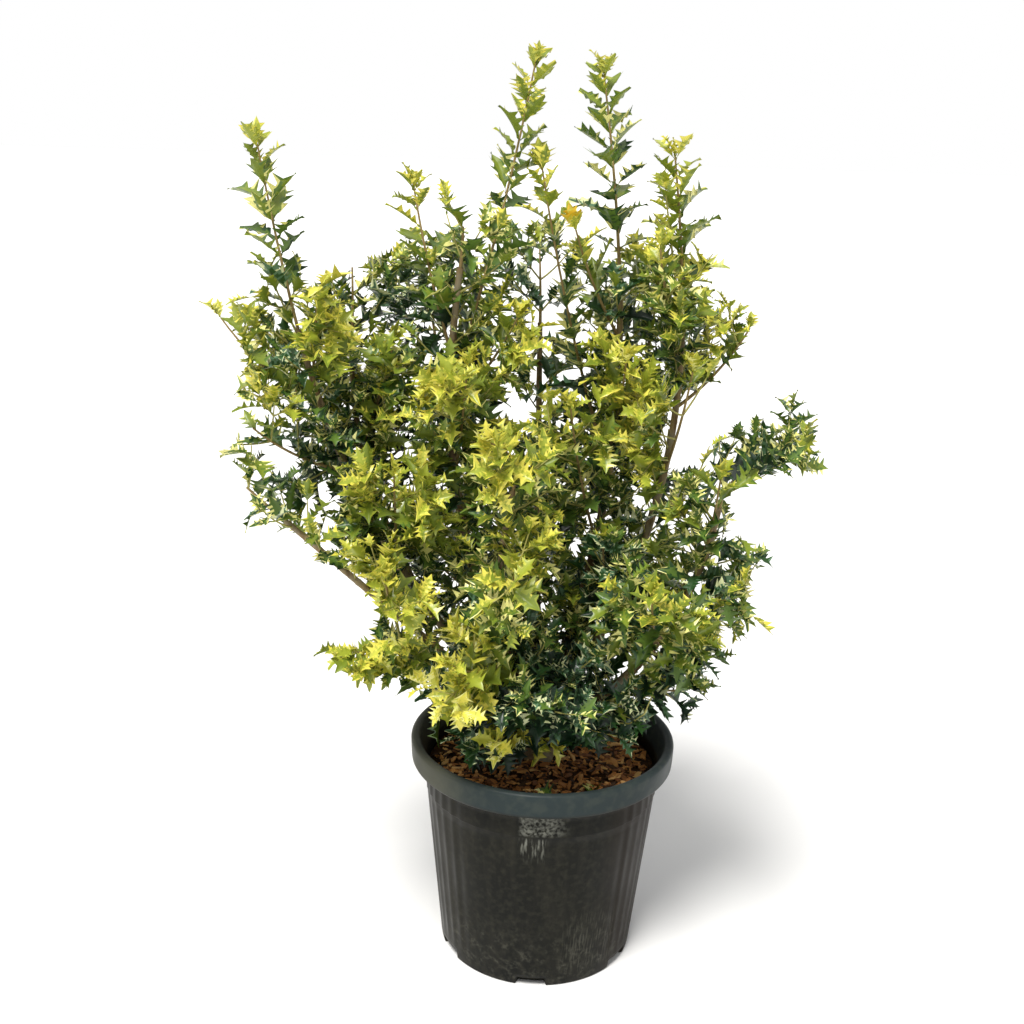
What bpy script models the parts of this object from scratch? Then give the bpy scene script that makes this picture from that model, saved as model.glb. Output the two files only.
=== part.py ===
"""A tricolour holly olive, a variegated evergreen shrub, standing in its black nursery pot.

Metres, +Z up, front towards -Y. The origin is the middle of the pot's flat underside.

The pot and the soil in it are turned shapes. A short woody foot stands on the soil and forks into
main stems and boughs, each one tapering limb along one bowed curve. Every mass of foliage is one
stem that starts clear of the limb that carries it, with side twigs and leaves in crossed pairs
that follow one seeded rule, fused into one body that keeps to its own space.
"""
import math
import random

import bmesh
import bpy
import numpy as np
from mathutils import Vector
from mathutils.bvhtree import BVHTree

GAP = 0.0003              # clearance between touching pieces

# Pot: a 26 litre nursery pot, 356 mm across the rim and 307 mm tall
POT_HEIGHT = 0.307
RIM_RADIUS = 0.178
RIM_FACE = 0.022          # height of the rim's upright face
RIM_ROUND = 0.005         # rounding along the rim's crest
RIM_UNDERCUT = 0.015      # height over which the rim draws in to the body
RIM_INNER_RADIUS = 0.1655
BAND_RADIUS = 0.1575      # plain band under the rim
BAND_FOOT = 0.235         # height of the fine step under that band
BAND_STEP = 0.0012
FOOT_RADIUS = 0.132
FOOT_ROUND = 0.004
FOOT_FLOOR = 0.016        # thickness of the floor, with the drain notches in its edge
WALL = 0.0026
WALL_BEND = 0.266         # height where the inner wall turns out towards the rim
POT_SIDES = 40
NOTCHES = 6
NOTCH_HEIGHT = 0.012
NOTCH_DEPTH = 0.010
NOTCH_HALF_ANGLE = math.radians(8.5)
NOTCH_FLANKS = (1.12, 0.78)   # a notch's width at the underside and at its top
NOTCH_TURN = math.radians(-93.0)
CUTTER_PROUD = 0.008      # how far a cutter stands out of what it cuts

# Soil in the pot
SOIL_TOP = 0.270
SOIL_DIP = 0.006          # how far the bark lies lower towards the wall
SOIL_EDGE = 0.260         # height of the soil where it meets the wall
SOIL_FLAT = 0.045         # radius of the flat seat round the woody foot

# Woody foot: from its flat cut on the soil to the fork
FOOT_AT = Vector((-0.005, 0.010, SOIL_TOP + GAP))
FORK_AT = Vector((-0.009, 0.013, 0.338))
TRUNK_RADIUS = 0.0150
FORK_RADIUS = 0.0115
FLARE = 0.0110            # how far the root flare stands out at the soil
FLARE_HEIGHT = 0.009
TRUNK_SIDES = 10
TRUNK_STEPS = 8
TRUNK_CROWDING = 1.6      # the rings lie closer together at the flare

# Limbs: carried by, where along it, far end, bow of the curve, radius at the foot and at the tip
LIMBS = {
    "left_stem": ("trunk", 0.60, (-0.318, -0.030, 0.850), (-0.080, -0.020, -0.040), 0.0072, 0.0036),
    "left_inner_stem": ("left_stem", 0.36, (-0.262, 0.045, 0.830), (-0.060, 0.020, 0.000), 0.0046, 0.0030),
    "centre_left_stem": ("trunk", 0.98, (-0.122, -0.020, 0.930), (-0.100, 0.000, -0.050), 0.0075, 0.0040),
    "right_centre_stem": ("trunk", 0.86, (0.075, 0.035, 0.920), (0.070, 0.040, -0.040), 0.0070, 0.0036),
    "right_stem": ("trunk", 0.66, (0.152, 0.000, 0.885), (0.100, -0.010, -0.030), 0.0070, 0.0036),
    "right_low_bough": ("trunk", 0.36, (0.203, -0.080, 0.655), (0.074, -0.050, -0.030), 0.0072, 0.0038),
    "left_low_bough": ("trunk", 0.40, (-0.335, -0.100, 0.635), (-0.010, -0.040, 0.030), 0.0062, 0.0032),
    "front_stem": ("trunk", 0.80, (-0.050, -0.120, 0.680), (-0.060, -0.060, -0.020), 0.0060, 0.0034),
    "back_left_stem": ("trunk", 0.74, (-0.160, 0.150, 0.800), (-0.050, 0.070, -0.050), 0.0062, 0.0034),
    "back_centre_stem": ("trunk", 0.92, (-0.020, 0.160, 0.840), (0.000, 0.090, -0.050), 0.0062, 0.0034),
    "back_right_stem": ("trunk", 0.50, (0.125, 0.150, 0.780), (0.050, 0.070, -0.060), 0.0062, 0.0034),
}
LIMB_SIDES = 6
LIMB_STEPS = 6

# Masses: carried by, where along it, furthest tip, reach of the side twigs
MASSES = {
    "tall_left": ("left_stem", 1.00, (-0.368, -0.030, 1.096), 0.050),
    "left_crest": ("left_stem", 0.90, (-0.285, -0.070, 0.940), 0.066),
    "upper_left": ("left_stem", 0.84, (-0.430, -0.050, 0.885), 0.070),
    "left_fan": ("left_stem", 0.70, (-0.395, -0.110, 0.765), 0.072),
    "left_shoulder": ("left_stem", 0.48, (-0.190, -0.150, 0.720), 0.072),
    "left_back": ("left_stem", 0.62, (-0.270, 0.130, 0.790), 0.072),
    "left_inner_top": ("left_inner_stem", 1.00, (-0.262, 0.050, 0.960), 0.070),
    "left_inner_side": ("left_inner_stem", 0.60, (-0.195, -0.020, 0.860), 0.070),
    "centre_left_top": ("centre_left_stem", 1.00, (-0.122, -0.020, 1.045), 0.056),
    "centre_left_crest": ("centre_left_stem", 0.84, (-0.187, -0.005, 1.050), 0.052),
    "centre_right_shoot": ("centre_left_stem", 0.74, (-0.035, -0.060, 0.900), 0.066),
    "centre_front": ("centre_left_stem", 0.60, (-0.105, -0.130, 0.850), 0.070),
    "centre_back": ("centre_left_stem", 0.66, (-0.100, 0.120, 0.870), 0.070),
    "tall_centre": ("centre_left_stem", 0.78, (-0.032, 0.030, 1.198), 0.050),
    "tall_inner": ("right_centre_stem", 0.60, (-0.035, 0.000, 1.080), 0.052),
    "tall_right": ("right_centre_stem", 1.00, (0.040, 0.035, 1.188), 0.050),
    "golden_shoot": ("right_centre_stem", 0.88, (0.004, -0.010, 1.005), 0.040),
    "right_centre_front": ("right_centre_stem", 0.70, (0.080, -0.100, 0.850), 0.070),
    "right_centre_low": ("right_centre_stem", 0.44, (0.010, -0.100, 0.800), 0.070),
    "right_centre_back": ("right_centre_stem", 0.58, (0.060, 0.200, 0.760), 0.070),
    "right_top": ("right_stem", 1.00, (0.128, 0.000, 1.096), 0.052),
    "right_top_front": ("right_stem", 0.88, (0.108, -0.060, 0.990), 0.056),
    "right_shoulder": ("right_stem", 0.80, (0.250, -0.030, 0.890), 0.066),
    "right_front": ("right_stem", 0.66, (0.160, -0.110, 0.850), 0.070),
    "right_back": ("right_stem", 0.62, (0.175, 0.150, 0.790), 0.070),
    "right_low": ("right_stem", 0.30, (0.060, -0.080, 0.630), 0.070),
    "far_right": ("right_low_bough", 1.00, (0.348, -0.080, 0.750), 0.066),
    "right_bough_top": ("right_low_bough", 0.86, (0.195, -0.140, 0.730), 0.070),
    "right_bough_side": ("right_low_bough", 0.70, (0.290, -0.090, 0.570), 0.075),
    "right_bough_front": ("right_low_bough", 0.52, (0.110, -0.215, 0.600), 0.075),
    "right_rim": ("right_low_bough", 0.32, (0.222, -0.050, 0.400), 0.060),
    "far_left": ("left_low_bough", 1.00, (-0.420, -0.100, 0.715), 0.066),
    "left_low": ("left_low_bough", 0.44, (-0.275, -0.140, 0.470), 0.070),
    "left_low_front": ("left_low_bough", 0.56, (-0.195, -0.210, 0.605), 0.075),
    "front_top": ("front_stem", 1.00, (-0.085, -0.210, 0.775), 0.066),
    "front_centre": ("front_stem", 0.62, (-0.040, -0.230, 0.625), 0.075),
    "front_left": ("front_stem", 0.34, (-0.125, -0.235, 0.500), 0.075),
    "front_low": ("front_stem", 0.16, (0.010, -0.225, 0.450), 0.070),
    "rim_front": ("trunk", 0.84, (-0.100, -0.160, 0.350), 0.056),
    "back_left_top": ("back_left_stem", 1.00, (-0.200, 0.200, 0.945), 0.075),
    "back_left_low": ("back_left_stem", 0.34, (-0.210, 0.210, 0.530), 0.080),
    "back_rim": ("back_left_stem", 0.14, (-0.080, 0.200, 0.410), 0.075),
    "back_centre_top": ("back_centre_stem", 1.00, (-0.025, 0.210, 0.970), 0.075),
    "back_centre_low": ("back_centre_stem", 0.40, (-0.030, 0.290, 0.600), 0.080),
    "back_right_top": ("back_right_stem", 1.00, (0.150, 0.200, 0.925), 0.075),
    "back_right_low": ("back_right_stem", 0.34, (0.180, 0.220, 0.520), 0.080),
}

# The rule of growth, coarse enough for solids
TWIG_SIDES = 3
TWIG_FOOT_RADIUS = 0.0030
TWIG_TIP_RADIUS = 0.0014
SIDE_TWIG_RADIUS = 0.0018
AXIS_STEPS = 4
NODE_SPACING = 0.52       # from one leaf pair to the next, of the mass's reach
LEAST_NODES = 3
SLENDER_REACH = 0.054     # a shoot under this reach has leaf pairs and no side twigs
SUNK_FOOT = 0.001         # start of a tip mass inside its limb, before it is cut clear
BARE_FOOT = 0.15          # part of a stem that carries nothing
STEM_SWEEP = 0.12         # how far a stem leaves level before it turns up, of its level reach
STEM_DIP = 0.10
TIP_RUN = 0.45            # how far a tip mass keeps its limb's heading, of its length
SIDE_TWIG_ANGLE = math.radians(55.0)
SIDE_TWIG_RISE = 0.12
PAIR_AT = 0.70            # place of the leaf pair and the end leaf along a side twig
END_LEAF_AT = 0.95
LEAF_ANGLE = math.radians(50.0)
LEAF_SHARE = 1.16         # length of a leaf, of the mass's reach
LEAF_WIDTH = 0.66         # of its length
LEAF_THICKNESS = 0.026    # of its length
LEAF_WIDEST = 0.46        # place of its widest part
LEAF_DROOP = 0.06
LEAF_LIFT = 0.8           # how far the leaves face the sky
TIP_LEAF_SHARE = 0.62     # size of the leaves at a shoot's end
TRIES = ((0.0, 1.0), (0.6, 1.0), (-0.6, 1.0), (0.0, 0.75), (0.6, 0.75), (-0.6, 0.75))
# A leaf's tries: its turn about the stem and its size. The first that fits stays
CELL_MARGIN = 0.0010      # how far a leaf stays inside its mass's own space
SEED = 11

COLOURS = {
    "pot": (0.020, 0.021, 0.022, 1.0),
    "soil": (0.150, 0.075, 0.035, 1.0),
    "bark": (0.230, 0.165, 0.095, 1.0),
    "foliage": (0.115, 0.190, 0.040, 1.0),
}
ROUGHNESS = {"pot": 0.45, "soil": 0.9, "bark": 0.8, "foliage": 0.4}


def clear_scene():
    """Remove whatever the file opened with."""
    for thing in list(bpy.data.objects):
        bpy.data.objects.remove(thing, do_unlink=True)


def finish(name, kind):
    """A Principled material of one piece's own."""
    material = bpy.data.materials.new(name)
    material.use_nodes = True
    shader = material.node_tree.nodes["Principled BSDF"]
    shader.inputs["Base Color"].default_value = COLOURS[kind]
    shader.inputs["Roughness"].default_value = ROUGHNESS[kind]
    shader.inputs["Metallic"].default_value = 0.0
    material.diffuse_color = COLOURS[kind]
    return material


def add_object(name, bm, kind=None):
    """Turn a bmesh into a named object in the scene."""
    mesh = bpy.data.meshes.new(name)
    bm.to_mesh(mesh)
    bm.free()
    thing = bpy.data.objects.new(name, mesh)
    bpy.context.scene.collection.objects.link(thing)
    if kind:
        mesh.materials.append(finish(name, kind))
    return thing


def turned(profile, sides):
    """A closed turned body. The profile's first and last points lie on the axis."""
    bm = bmesh.new()
    rings = []
    for radius, height in profile:
        if radius == 0.0:
            rings.append([bm.verts.new((0.0, 0.0, height))])
            continue
        ring = []
        for side in range(sides):
            angle = 2.0 * math.pi * side / sides
            ring.append(bm.verts.new((radius * math.cos(angle), radius * math.sin(angle), height)))
        rings.append(ring)
    for below, above in zip(rings, rings[1:]):
        for side in range(sides):
            after = (side + 1) % sides
            if len(below) == 1:
                bm.faces.new((below[0], above[after], above[side]))
            elif len(above) == 1:
                bm.faces.new((below[side], below[after], above[0]))
            else:
                bm.faces.new((below[side], below[after], above[after], above[side]))
    bmesh.ops.recalc_face_normals(bm, faces=bm.faces)
    return bm


def pot_outer_radius(height):
    """Radius of the tapering body below the band."""
    share = height / BAND_FOOT
    return FOOT_RADIUS + (BAND_RADIUS - BAND_STEP - FOOT_RADIUS) * share


def pot_profile():
    """Outline of the pot, from the middle of its underside round to the middle of its floor."""
    rim_foot = POT_HEIGHT - RIM_FACE - RIM_ROUND
    band_top = rim_foot - RIM_UNDERCUT
    return [
        (0.0, 0.0),
        (FOOT_RADIUS - FOOT_ROUND, 0.0),
        (FOOT_RADIUS, FOOT_ROUND),
        (pot_outer_radius(BAND_FOOT), BAND_FOOT),
        (BAND_RADIUS, BAND_FOOT + BAND_STEP),
        (BAND_RADIUS + 0.001, band_top),
        (RIM_RADIUS - RIM_ROUND, rim_foot - 0.001),
        (RIM_RADIUS - 0.001, rim_foot + 0.003),
        (RIM_RADIUS, POT_HEIGHT - RIM_ROUND),
        (RIM_RADIUS - 0.35 * RIM_ROUND, POT_HEIGHT - 0.25 * RIM_ROUND),
        (RIM_RADIUS - RIM_ROUND, POT_HEIGHT),
        (RIM_INNER_RADIUS, POT_HEIGHT - 0.6 * RIM_ROUND),
        (BAND_RADIUS - WALL, WALL_BEND),
        (pot_outer_radius(FOOT_FLOOR) - WALL, FOOT_FLOOR),
        (0.0, FOOT_FLOOR),
    ]


def notch_cutter(index):
    """One tapering block that cuts a drain notch into the edge of the floor."""
    bm = bmesh.new()
    middle = NOTCH_TURN + index * 2.0 * math.pi / NOTCHES
    inner = FOOT_RADIUS - NOTCH_DEPTH
    outer = FOOT_RADIUS + CUTTER_PROUD
    corners = []
    for height, share in zip((-CUTTER_PROUD, NOTCH_HEIGHT), NOTCH_FLANKS):
        for radius, side in ((inner, -1), (outer, -1), (outer, 1), (inner, 1)):
            angle = middle + side * share * NOTCH_HALF_ANGLE
            corners.append(bm.verts.new((radius * math.cos(angle), radius * math.sin(angle), height)))
    low, high = corners[:4], corners[4:]
    bm.faces.new(low)
    bm.faces.new(high)
    for corner in range(4):
        after = (corner + 1) % 4
        bm.faces.new((low[corner], low[after], high[after], high[corner]))
    bmesh.ops.recalc_face_normals(bm, faces=bm.faces)
    cutter = add_object("notch_cutter_%d" % index, bm)
    cutter.hide_render = True
    cutter.display_type = "WIRE"
    return cutter


def make_pot():
    """The pot, with its drain notches cut into the foot."""
    pot = add_object("pot", turned(pot_profile(), POT_SIDES), "pot")
    for index in range(NOTCHES):
        cut = pot.modifiers.new("notch", "BOOLEAN")
        cut.operation = "DIFFERENCE"
        cut.solver = "EXACT"
        cut.object = notch_cutter(index)
    pot.data.shade_smooth()
    pot.data.set_sharp_from_angle(angle=math.radians(30.0))
    return pot


def inner_wall_radius(height):
    """Radius of the pot's inner wall at a height, as its profile runs."""
    low = (pot_outer_radius(FOOT_FLOOR) - WALL, FOOT_FLOOR)
    high = (BAND_RADIUS - WALL, WALL_BEND)
    share = (height - low[1]) / (high[1] - low[1])
    return low[0] + (high[0] - low[0]) * share


def make_soil():
    """The root ball and bark mulch, clear of the pot by the usual gap, with a flat seat in the middle."""
    bottom = FOOT_FLOOR + GAP
    edge = inner_wall_radius(SOIL_EDGE) - 2.0 * GAP
    profile = [
        (0.0, bottom),
        (inner_wall_radius(bottom) - 2.0 * GAP, bottom),
        (edge, SOIL_EDGE),
        ((edge + SOIL_FLAT) / 2.0, SOIL_TOP - SOIL_DIP),
        (SOIL_FLAT, SOIL_TOP),
        (0.0, SOIL_TOP),
    ]
    soil = add_object("soil", turned(profile, POT_SIDES), "soil")
    soil.data.shade_smooth()
    soil.data.set_sharp_from_angle(angle=math.radians(30.0))
    return soil


def curve_point(curve, share):
    """A point on the bowed curve of a limb or a mass."""
    start, control, end = curve
    rest = 1.0 - share
    return start * (rest * rest) + control * (2.0 * rest * share) + end * (share * share)


def curve_heading(curve, share):
    """The direction in which the curve runs there."""
    start, control, end = curve
    return ((control - start) * (1.0 - share) + (end - control) * share).normalized()


def tube(points, radii, sides):
    """A closed tapering tube through the points."""
    bm = bmesh.new()
    heading = (points[1] - points[0]).normalized()
    across = heading.cross(Vector((0.31, 0.95, 0.05))).normalized()
    rings = []
    for index, point in enumerate(points):
        before = points[max(index - 1, 0)]
        after = points[min(index + 1, len(points) - 1)]
        heading = (after - before).normalized()
        across = (across - heading * across.dot(heading)).normalized()
        aside = heading.cross(across)
        ring = []
        for side in range(sides):
            angle = 2.0 * math.pi * side / sides
            offset = across * math.cos(angle) + aside * math.sin(angle)
            ring.append(bm.verts.new(point + offset * radii[index]))
        rings.append(ring)
    for below, above in zip(rings, rings[1:]):
        for side in range(sides):
            after = (side + 1) % sides
            bm.faces.new((below[side], below[after], above[after], above[side]))
    bm.faces.new(list(reversed(rings[0])))
    bm.faces.new(rings[-1])
    return bm


def trunk_tube(grow=0.0):
    """The woody foot, flared where it meets the soil."""
    points, radii = [], []
    for step in range(TRUNK_STEPS + 1):
        share = (step / TRUNK_STEPS) ** TRUNK_CROWDING
        point = FOOT_AT.lerp(FORK_AT, share)
        flare = FLARE * math.exp(-(point.z - FOOT_AT.z) / FLARE_HEIGHT)
        points.append(point)
        radii.append(TRUNK_RADIUS + (FORK_RADIUS - TRUNK_RADIUS) * share + flare + grow)
    bm = tube(points, radii, TRUNK_SIDES)
    bm.verts.ensure_lookup_table()
    for vert in bm.verts[:TRUNK_SIDES]:
        vert.co.z = FOOT_AT.z - grow
    return bm


def limb_curves():
    """The curve of the trunk and of each limb, by name."""
    curves = {"trunk": (FOOT_AT, (FOOT_AT + FORK_AT) / 2.0, FORK_AT)}
    for name, (carrier, share, end, bow, _, _) in LIMBS.items():
        start = curve_point(curves[carrier], share)
        end = Vector(end)
        curves[name] = (start, (start + end) / 2.0 + Vector(bow), end)
    return curves


def limb_tube(name, curves, grow=0.0):
    """One tapering limb, or a copy of it grown by the gap."""
    if name == "trunk":
        return trunk_tube(grow)
    _, _, _, _, foot, tip = LIMBS[name]
    points, radii = [], []
    for step in range(LIMB_STEPS + 1):
        share = step / LIMB_STEPS
        points.append(curve_point(curves[name], share))
        radii.append(foot + (tip - foot) * share + grow)
    if grow:
        points[-1] = points[-1] + curve_heading(curves[name], 1.0) * grow
    return tube(points, radii, LIMB_SIDES)


def apply_boolean(thing, operation, solver, other=None, group=None):
    """Cut or join, and keep the result as the object's own mesh."""
    work = thing.modifiers.new("work", "BOOLEAN")
    work.operation = operation
    work.solver = solver
    if group:
        work.operand_type = "COLLECTION"
        work.collection = group
    else:
        work.object = other
    graph = bpy.context.evaluated_depsgraph_get()
    mesh = bpy.data.meshes.new_from_object(thing.evaluated_get(graph))
    thing.modifiers.remove(work)
    old = thing.data
    thing.data = mesh
    bpy.data.meshes.remove(old)


def keep_largest(thing):
    """Drop loose scraps: only the largest connected body stays."""
    bm = bmesh.new()
    bm.from_mesh(thing.data)
    left = set(bm.verts)
    bodies = []
    while left:
        body = set()
        front = [left.pop()]
        while front:
            vert = front.pop()
            body.add(vert)
            for edge in vert.link_edges:
                other = edge.other_vert(vert)
                if other in left:
                    left.remove(other)
                    front.append(other)
        bodies.append(body)
    bodies.sort(key=len, reverse=True)
    scraps = [vert for body in bodies[1:] for vert in body]
    bmesh.ops.delete(bm, geom=scraps, context="VERTS")
    bm.to_mesh(thing.data)
    bm.free()
    return len(bodies) - 1


def make_limbs(curves):
    """The woody foot and each limb, cut clear of the limbs made before it that it starts in or meets."""
    made = []
    trees = {}
    for name in curves:
        limb = add_object(name, limb_tube(name, curves), "bark")
        grown = limb_tube(name, curves, GAP)
        own_tree = BVHTree.FromBMesh(grown)
        for other in made:
            if not own_tree.overlap(trees[other]):
                continue
            cutter = add_object("limb_cutter", limb_tube(other, curves, GAP))
            apply_boolean(limb, "DIFFERENCE", "EXACT", other=cutter)
            bpy.data.objects.remove(cutter, do_unlink=True)
        grown.free()
        keep_largest(limb)
        limb.data.shade_smooth()
        limb.data.set_sharp_from_angle(angle=math.radians(50.0))
        trees[name] = BVHTree.FromObject(limb, bpy.context.evaluated_depsgraph_get())
        made.append(name)
    return made


def mass_curves(curves):
    """The stem curve of each mass. One at a limb's tip runs on from it; others leave and turn up."""
    stems = {}
    for name, (carrier, share, tip, reach) in MASSES.items():
        tip = Vector(tip)
        start = curve_point(curves[carrier], share)
        end = tip - (tip - start).normalized() * (0.9 * TIP_LEAF_SHARE * LEAF_SHARE * reach)
        span = (end - start).length
        if share == 1.0:
            heading = curve_heading(curves[carrier], 1.0)
            start = start - heading * SUNK_FOOT
            control = start + heading * (TIP_RUN * span)
        else:
            level = Vector((end.x - start.x, end.y - start.y, 0.0))
            dip = Vector((0.0, 0.0, STEM_DIP * level.length))
            control = (start + end) / 2.0 + level * STEM_SWEEP - dip
        stems[name] = (start, control, end)
    return stems


class Spaces:
    """The space of each mass: all that lies nearer to its stem than to any other."""

    def __init__(self, stems):
        self.names = list(stems)
        starts, ends, owners = [], [], []
        for index, name in enumerate(self.names):
            first = BARE_FOOT
            for step in range(AXIS_STEPS):
                low = first + (1.0 - first) * step / AXIS_STEPS
                high = first + (1.0 - first) * (step + 1) / AXIS_STEPS
                starts.append(curve_point(stems[name], low))
                ends.append(curve_point(stems[name], high))
                owners.append(index)
        self.start = np.array(starts)
        self.span = np.array(ends) - self.start
        self.square = (self.span ** 2).sum(axis=1)
        self.owner = np.array(owners)

    def inside(self, name, points):
        """Whether all the points are well inside the mass's space."""
        own = self.owner == self.names.index(name)
        for point in points:
            offset = np.array(point) - self.start
            share = np.clip((offset * self.span).sum(axis=1) / self.square, 0.0, 1.0)
            distance = np.linalg.norm(offset - share[:, None] * self.span, axis=1)
            if distance[own].min() > distance[~own].min() - CELL_MARGIN:
                return False
        return True


def side_of(heading, angle):
    """A direction square to the heading, turned about it by the angle."""
    across = heading.cross(Vector((0.0, 0.0, 1.0)))
    if across.length < 0.05:
        across = Vector((1.0, 0.0, 0.0)) - heading * heading.x
    across.normalize()
    return across * math.cos(angle) + heading.cross(across) * math.sin(angle)


def leaf_corners(root, heading, upper, length):
    """Four corners round a leaf and the two heights of its middle."""
    across = heading.cross(upper).normalized()
    upper = across.cross(heading).normalized()
    middle = root + heading * (LEAF_WIDEST * length)
    half = across * (0.5 * LEAF_WIDTH * length)
    rise = upper * (0.5 * LEAF_THICKNESS * length)
    droop = upper * (LEAF_DROOP * length)
    tip = root + heading * length - droop
    return root, middle - half, tip, middle + half, middle + rise, middle - rise


def leaf_body(corners):
    """A leaf as a thin closed lens of eight faces."""
    bm = bmesh.new()
    root, left, tip, right, top, bottom = [bm.verts.new(corner) for corner in corners]
    outline = (root, left, tip, right)
    for index, corner in enumerate(outline):
        after = outline[(index + 1) % 4]
        bm.faces.new((corner, after, top))
        bm.faces.new((after, corner, bottom))
    bmesh.ops.recalc_face_normals(bm, faces=bm.faces)
    return bm


def grow_mass(curve, reach, dice):
    """The seeded rule: side twigs as (foot, far end) and leaves as (root, stem's way, turn, size)."""
    start, _, end = curve
    length = (end - start).length
    nodes = max(LEAST_NODES, round(length * (1.0 - BARE_FOOT) / (NODE_SPACING * reach)))
    turn = dice.uniform(0.0, math.pi)
    twigs, leaves = [], []
    for node in range(nodes + 1):
        along = node / nodes
        share = min(BARE_FOOT + (1.0 - BARE_FOOT) * along, 0.96)
        point = curve_point(curve, share)
        heading = curve_heading(curve, share)
        turn += math.pi / 2.0 + dice.uniform(-0.2, 0.2)
        size = LEAF_SHARE * reach * (1.0 + (TIP_LEAF_SHARE - 1.0) * along) * dice.uniform(0.92, 1.05)
        forks = reach > SLENDER_REACH and node % 2 == 0 and node < nodes - 1
        for half in (0.0, math.pi):
            if not forks:
                leaves.append((point, heading, turn + half, LEAF_ANGLE, size))
                continue
            twig_length = reach * dice.uniform(0.80, 1.05) * (1.1 - 0.5 * along)
            way = turned_way(heading, turn + half, SIDE_TWIG_ANGLE)
            far = point + (way + Vector((0.0, 0.0, SIDE_TWIG_RISE))) * twig_length
            twigs.append((point, far))
            leaves.extend(twig_leaves(point, far, size, dice))
    tip_size = TIP_LEAF_SHARE * LEAF_SHARE * reach
    leaves.append((curve_point(curve, 0.97), curve_heading(curve, 1.0), turn, 0.0, tip_size))
    return twigs, leaves


def twig_leaves(foot, far, size, dice):
    """The pair and the end leaf of a side twig."""
    way = (far - foot).normalized()
    turn = dice.uniform(0.0, math.pi)
    root = foot.lerp(far, PAIR_AT)
    return [
        (root, way, turn, LEAF_ANGLE, 0.9 * size),
        (root, way, turn + math.pi, LEAF_ANGLE, 0.9 * size),
        (foot.lerp(far, END_LEAF_AT), way, turn, 0.0, 0.8 * size),
    ]


def turned_way(heading, turn, angle):
    """A direction that leaves the heading by the angle, turned about it."""
    return heading * math.cos(angle) + side_of(heading, turn) * math.sin(angle)


def add_leaf(leaf, name, spaces, group, trees):
    """Try a leaf in a few turns and two sizes. The first that stays in its space is kept."""
    root, stem_way, turn, angle, size = leaf
    for more_turn, smaller in TRIES:
        heading = turned_way(stem_way, turn + more_turn, angle)
        upper = stem_way + Vector((0.0, 0.0, LEAF_LIFT)) if angle else side_of(stem_way, turn)
        corners = leaf_corners(root, heading, upper, size * smaller)
        body = leaf_body(corners)
        fits = spaces.inside(name, corners[1:]) and not touches(body, trees)
        if keep_part(body, group, fits):
            return


def make_mass(name, stems, spaces, limb_trees, curves):
    """One mass of foliage, fused into a single body."""
    carrier, _, _, reach = MASSES[name]
    curve = stems[name]
    twigs, leaves = grow_mass(curve, reach, random.Random("%s %d" % (name, SEED)))
    points = [curve_point(curve, step / AXIS_STEPS) for step in range(AXIS_STEPS + 1)]
    radii = [TWIG_FOOT_RADIUS + (TWIG_TIP_RADIUS - TWIG_FOOT_RADIUS) * step / AXIS_STEPS
             for step in range(AXIS_STEPS + 1)]
    mass = add_object(name, tube(points, radii, TWIG_SIDES), "foliage")
    group = bpy.data.collections.new("parts_of_" + name)
    for foot, far in twigs:
        body = tube([foot, far], [SIDE_TWIG_RADIUS, 0.7 * SIDE_TWIG_RADIUS], TWIG_SIDES)
        fits = spaces.inside(name, [foot.lerp(far, 0.35), foot.lerp(far, 0.7), far])
        keep_part(body, group, fits and not touches(body, limb_trees))
    for leaf in leaves:
        add_leaf(leaf, name, spaces, group, limb_trees)
    count = len(group.objects)
    apply_boolean(mass, "UNION", "MANIFOLD", group=group)
    for part in list(group.objects):
        bpy.data.objects.remove(part, do_unlink=True)
    bpy.data.collections.remove(group)
    cutter = add_object("limb_cutter", limb_tube(carrier, curves, GAP))
    apply_boolean(mass, "DIFFERENCE", "MANIFOLD", other=cutter)
    bpy.data.objects.remove(cutter, do_unlink=True)
    scraps = keep_largest(mass)
    mass.data.shade_flat()
    return count, scraps


def keep_part(bm, group, fits):
    """Put a twig or leaf that fits into the collection that the union reads."""
    if fits:
        mesh = bpy.data.meshes.new("part")
        bm.to_mesh(mesh)
        part = bpy.data.objects.new("part", mesh)
        group.objects.link(part)
    bm.free()
    return fits


def touches(bm, trees):
    """Whether a twig or leaf meets a limb, the pot or the soil."""
    own = BVHTree.FromBMesh(bm)
    return any(own.overlap(tree) for tree in trees)


def main():
    """Build the pot, the soil, the limbs and the masses of foliage."""
    clear_scene()
    pot = make_pot()
    soil = make_soil()
    curves = limb_curves()
    make_limbs(curves)
    grown = []
    for name in curves:
        grown.append(BVHTree.FromBMesh(limb_tube(name, curves, 3.0 * GAP)))
    graph = bpy.context.evaluated_depsgraph_get()
    grown.append(BVHTree.FromObject(pot, graph))
    grown.append(BVHTree.FromObject(soil, graph))
    stems = mass_curves(curves)
    spaces = Spaces(stems)
    for name in MASSES:
        count, scraps = make_mass(name, stems, spaces, grown, curves)
        triangles = sum(len(face.vertices) - 2 for face in bpy.data.objects[name].data.polygons)
        print(name, count, "parts", scraps, "scraps", triangles, "triangles")


main()
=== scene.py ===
# %% [markdown]
# # A tricolour holly olive in its nursery pot
# The real plant is a bushy evergreen shrub, about 0.9 m of crown over a black nursery pot. Its leaves
# stand in opposite pairs that cross, each one spined and splashed with cream and yellow. This lesson
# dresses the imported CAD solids: limbs get bark with relief, every coarse mass of foliage is replaced
# by fine twigs and true leaves, and the pot and the soil get finer shapes. The frame gives the box
# that all of it has to stay in, so it is measured first.

# %% Load the frame
import math
import random

import bpy
import numpy as np
from mathutils import Matrix, Vector, noise


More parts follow.
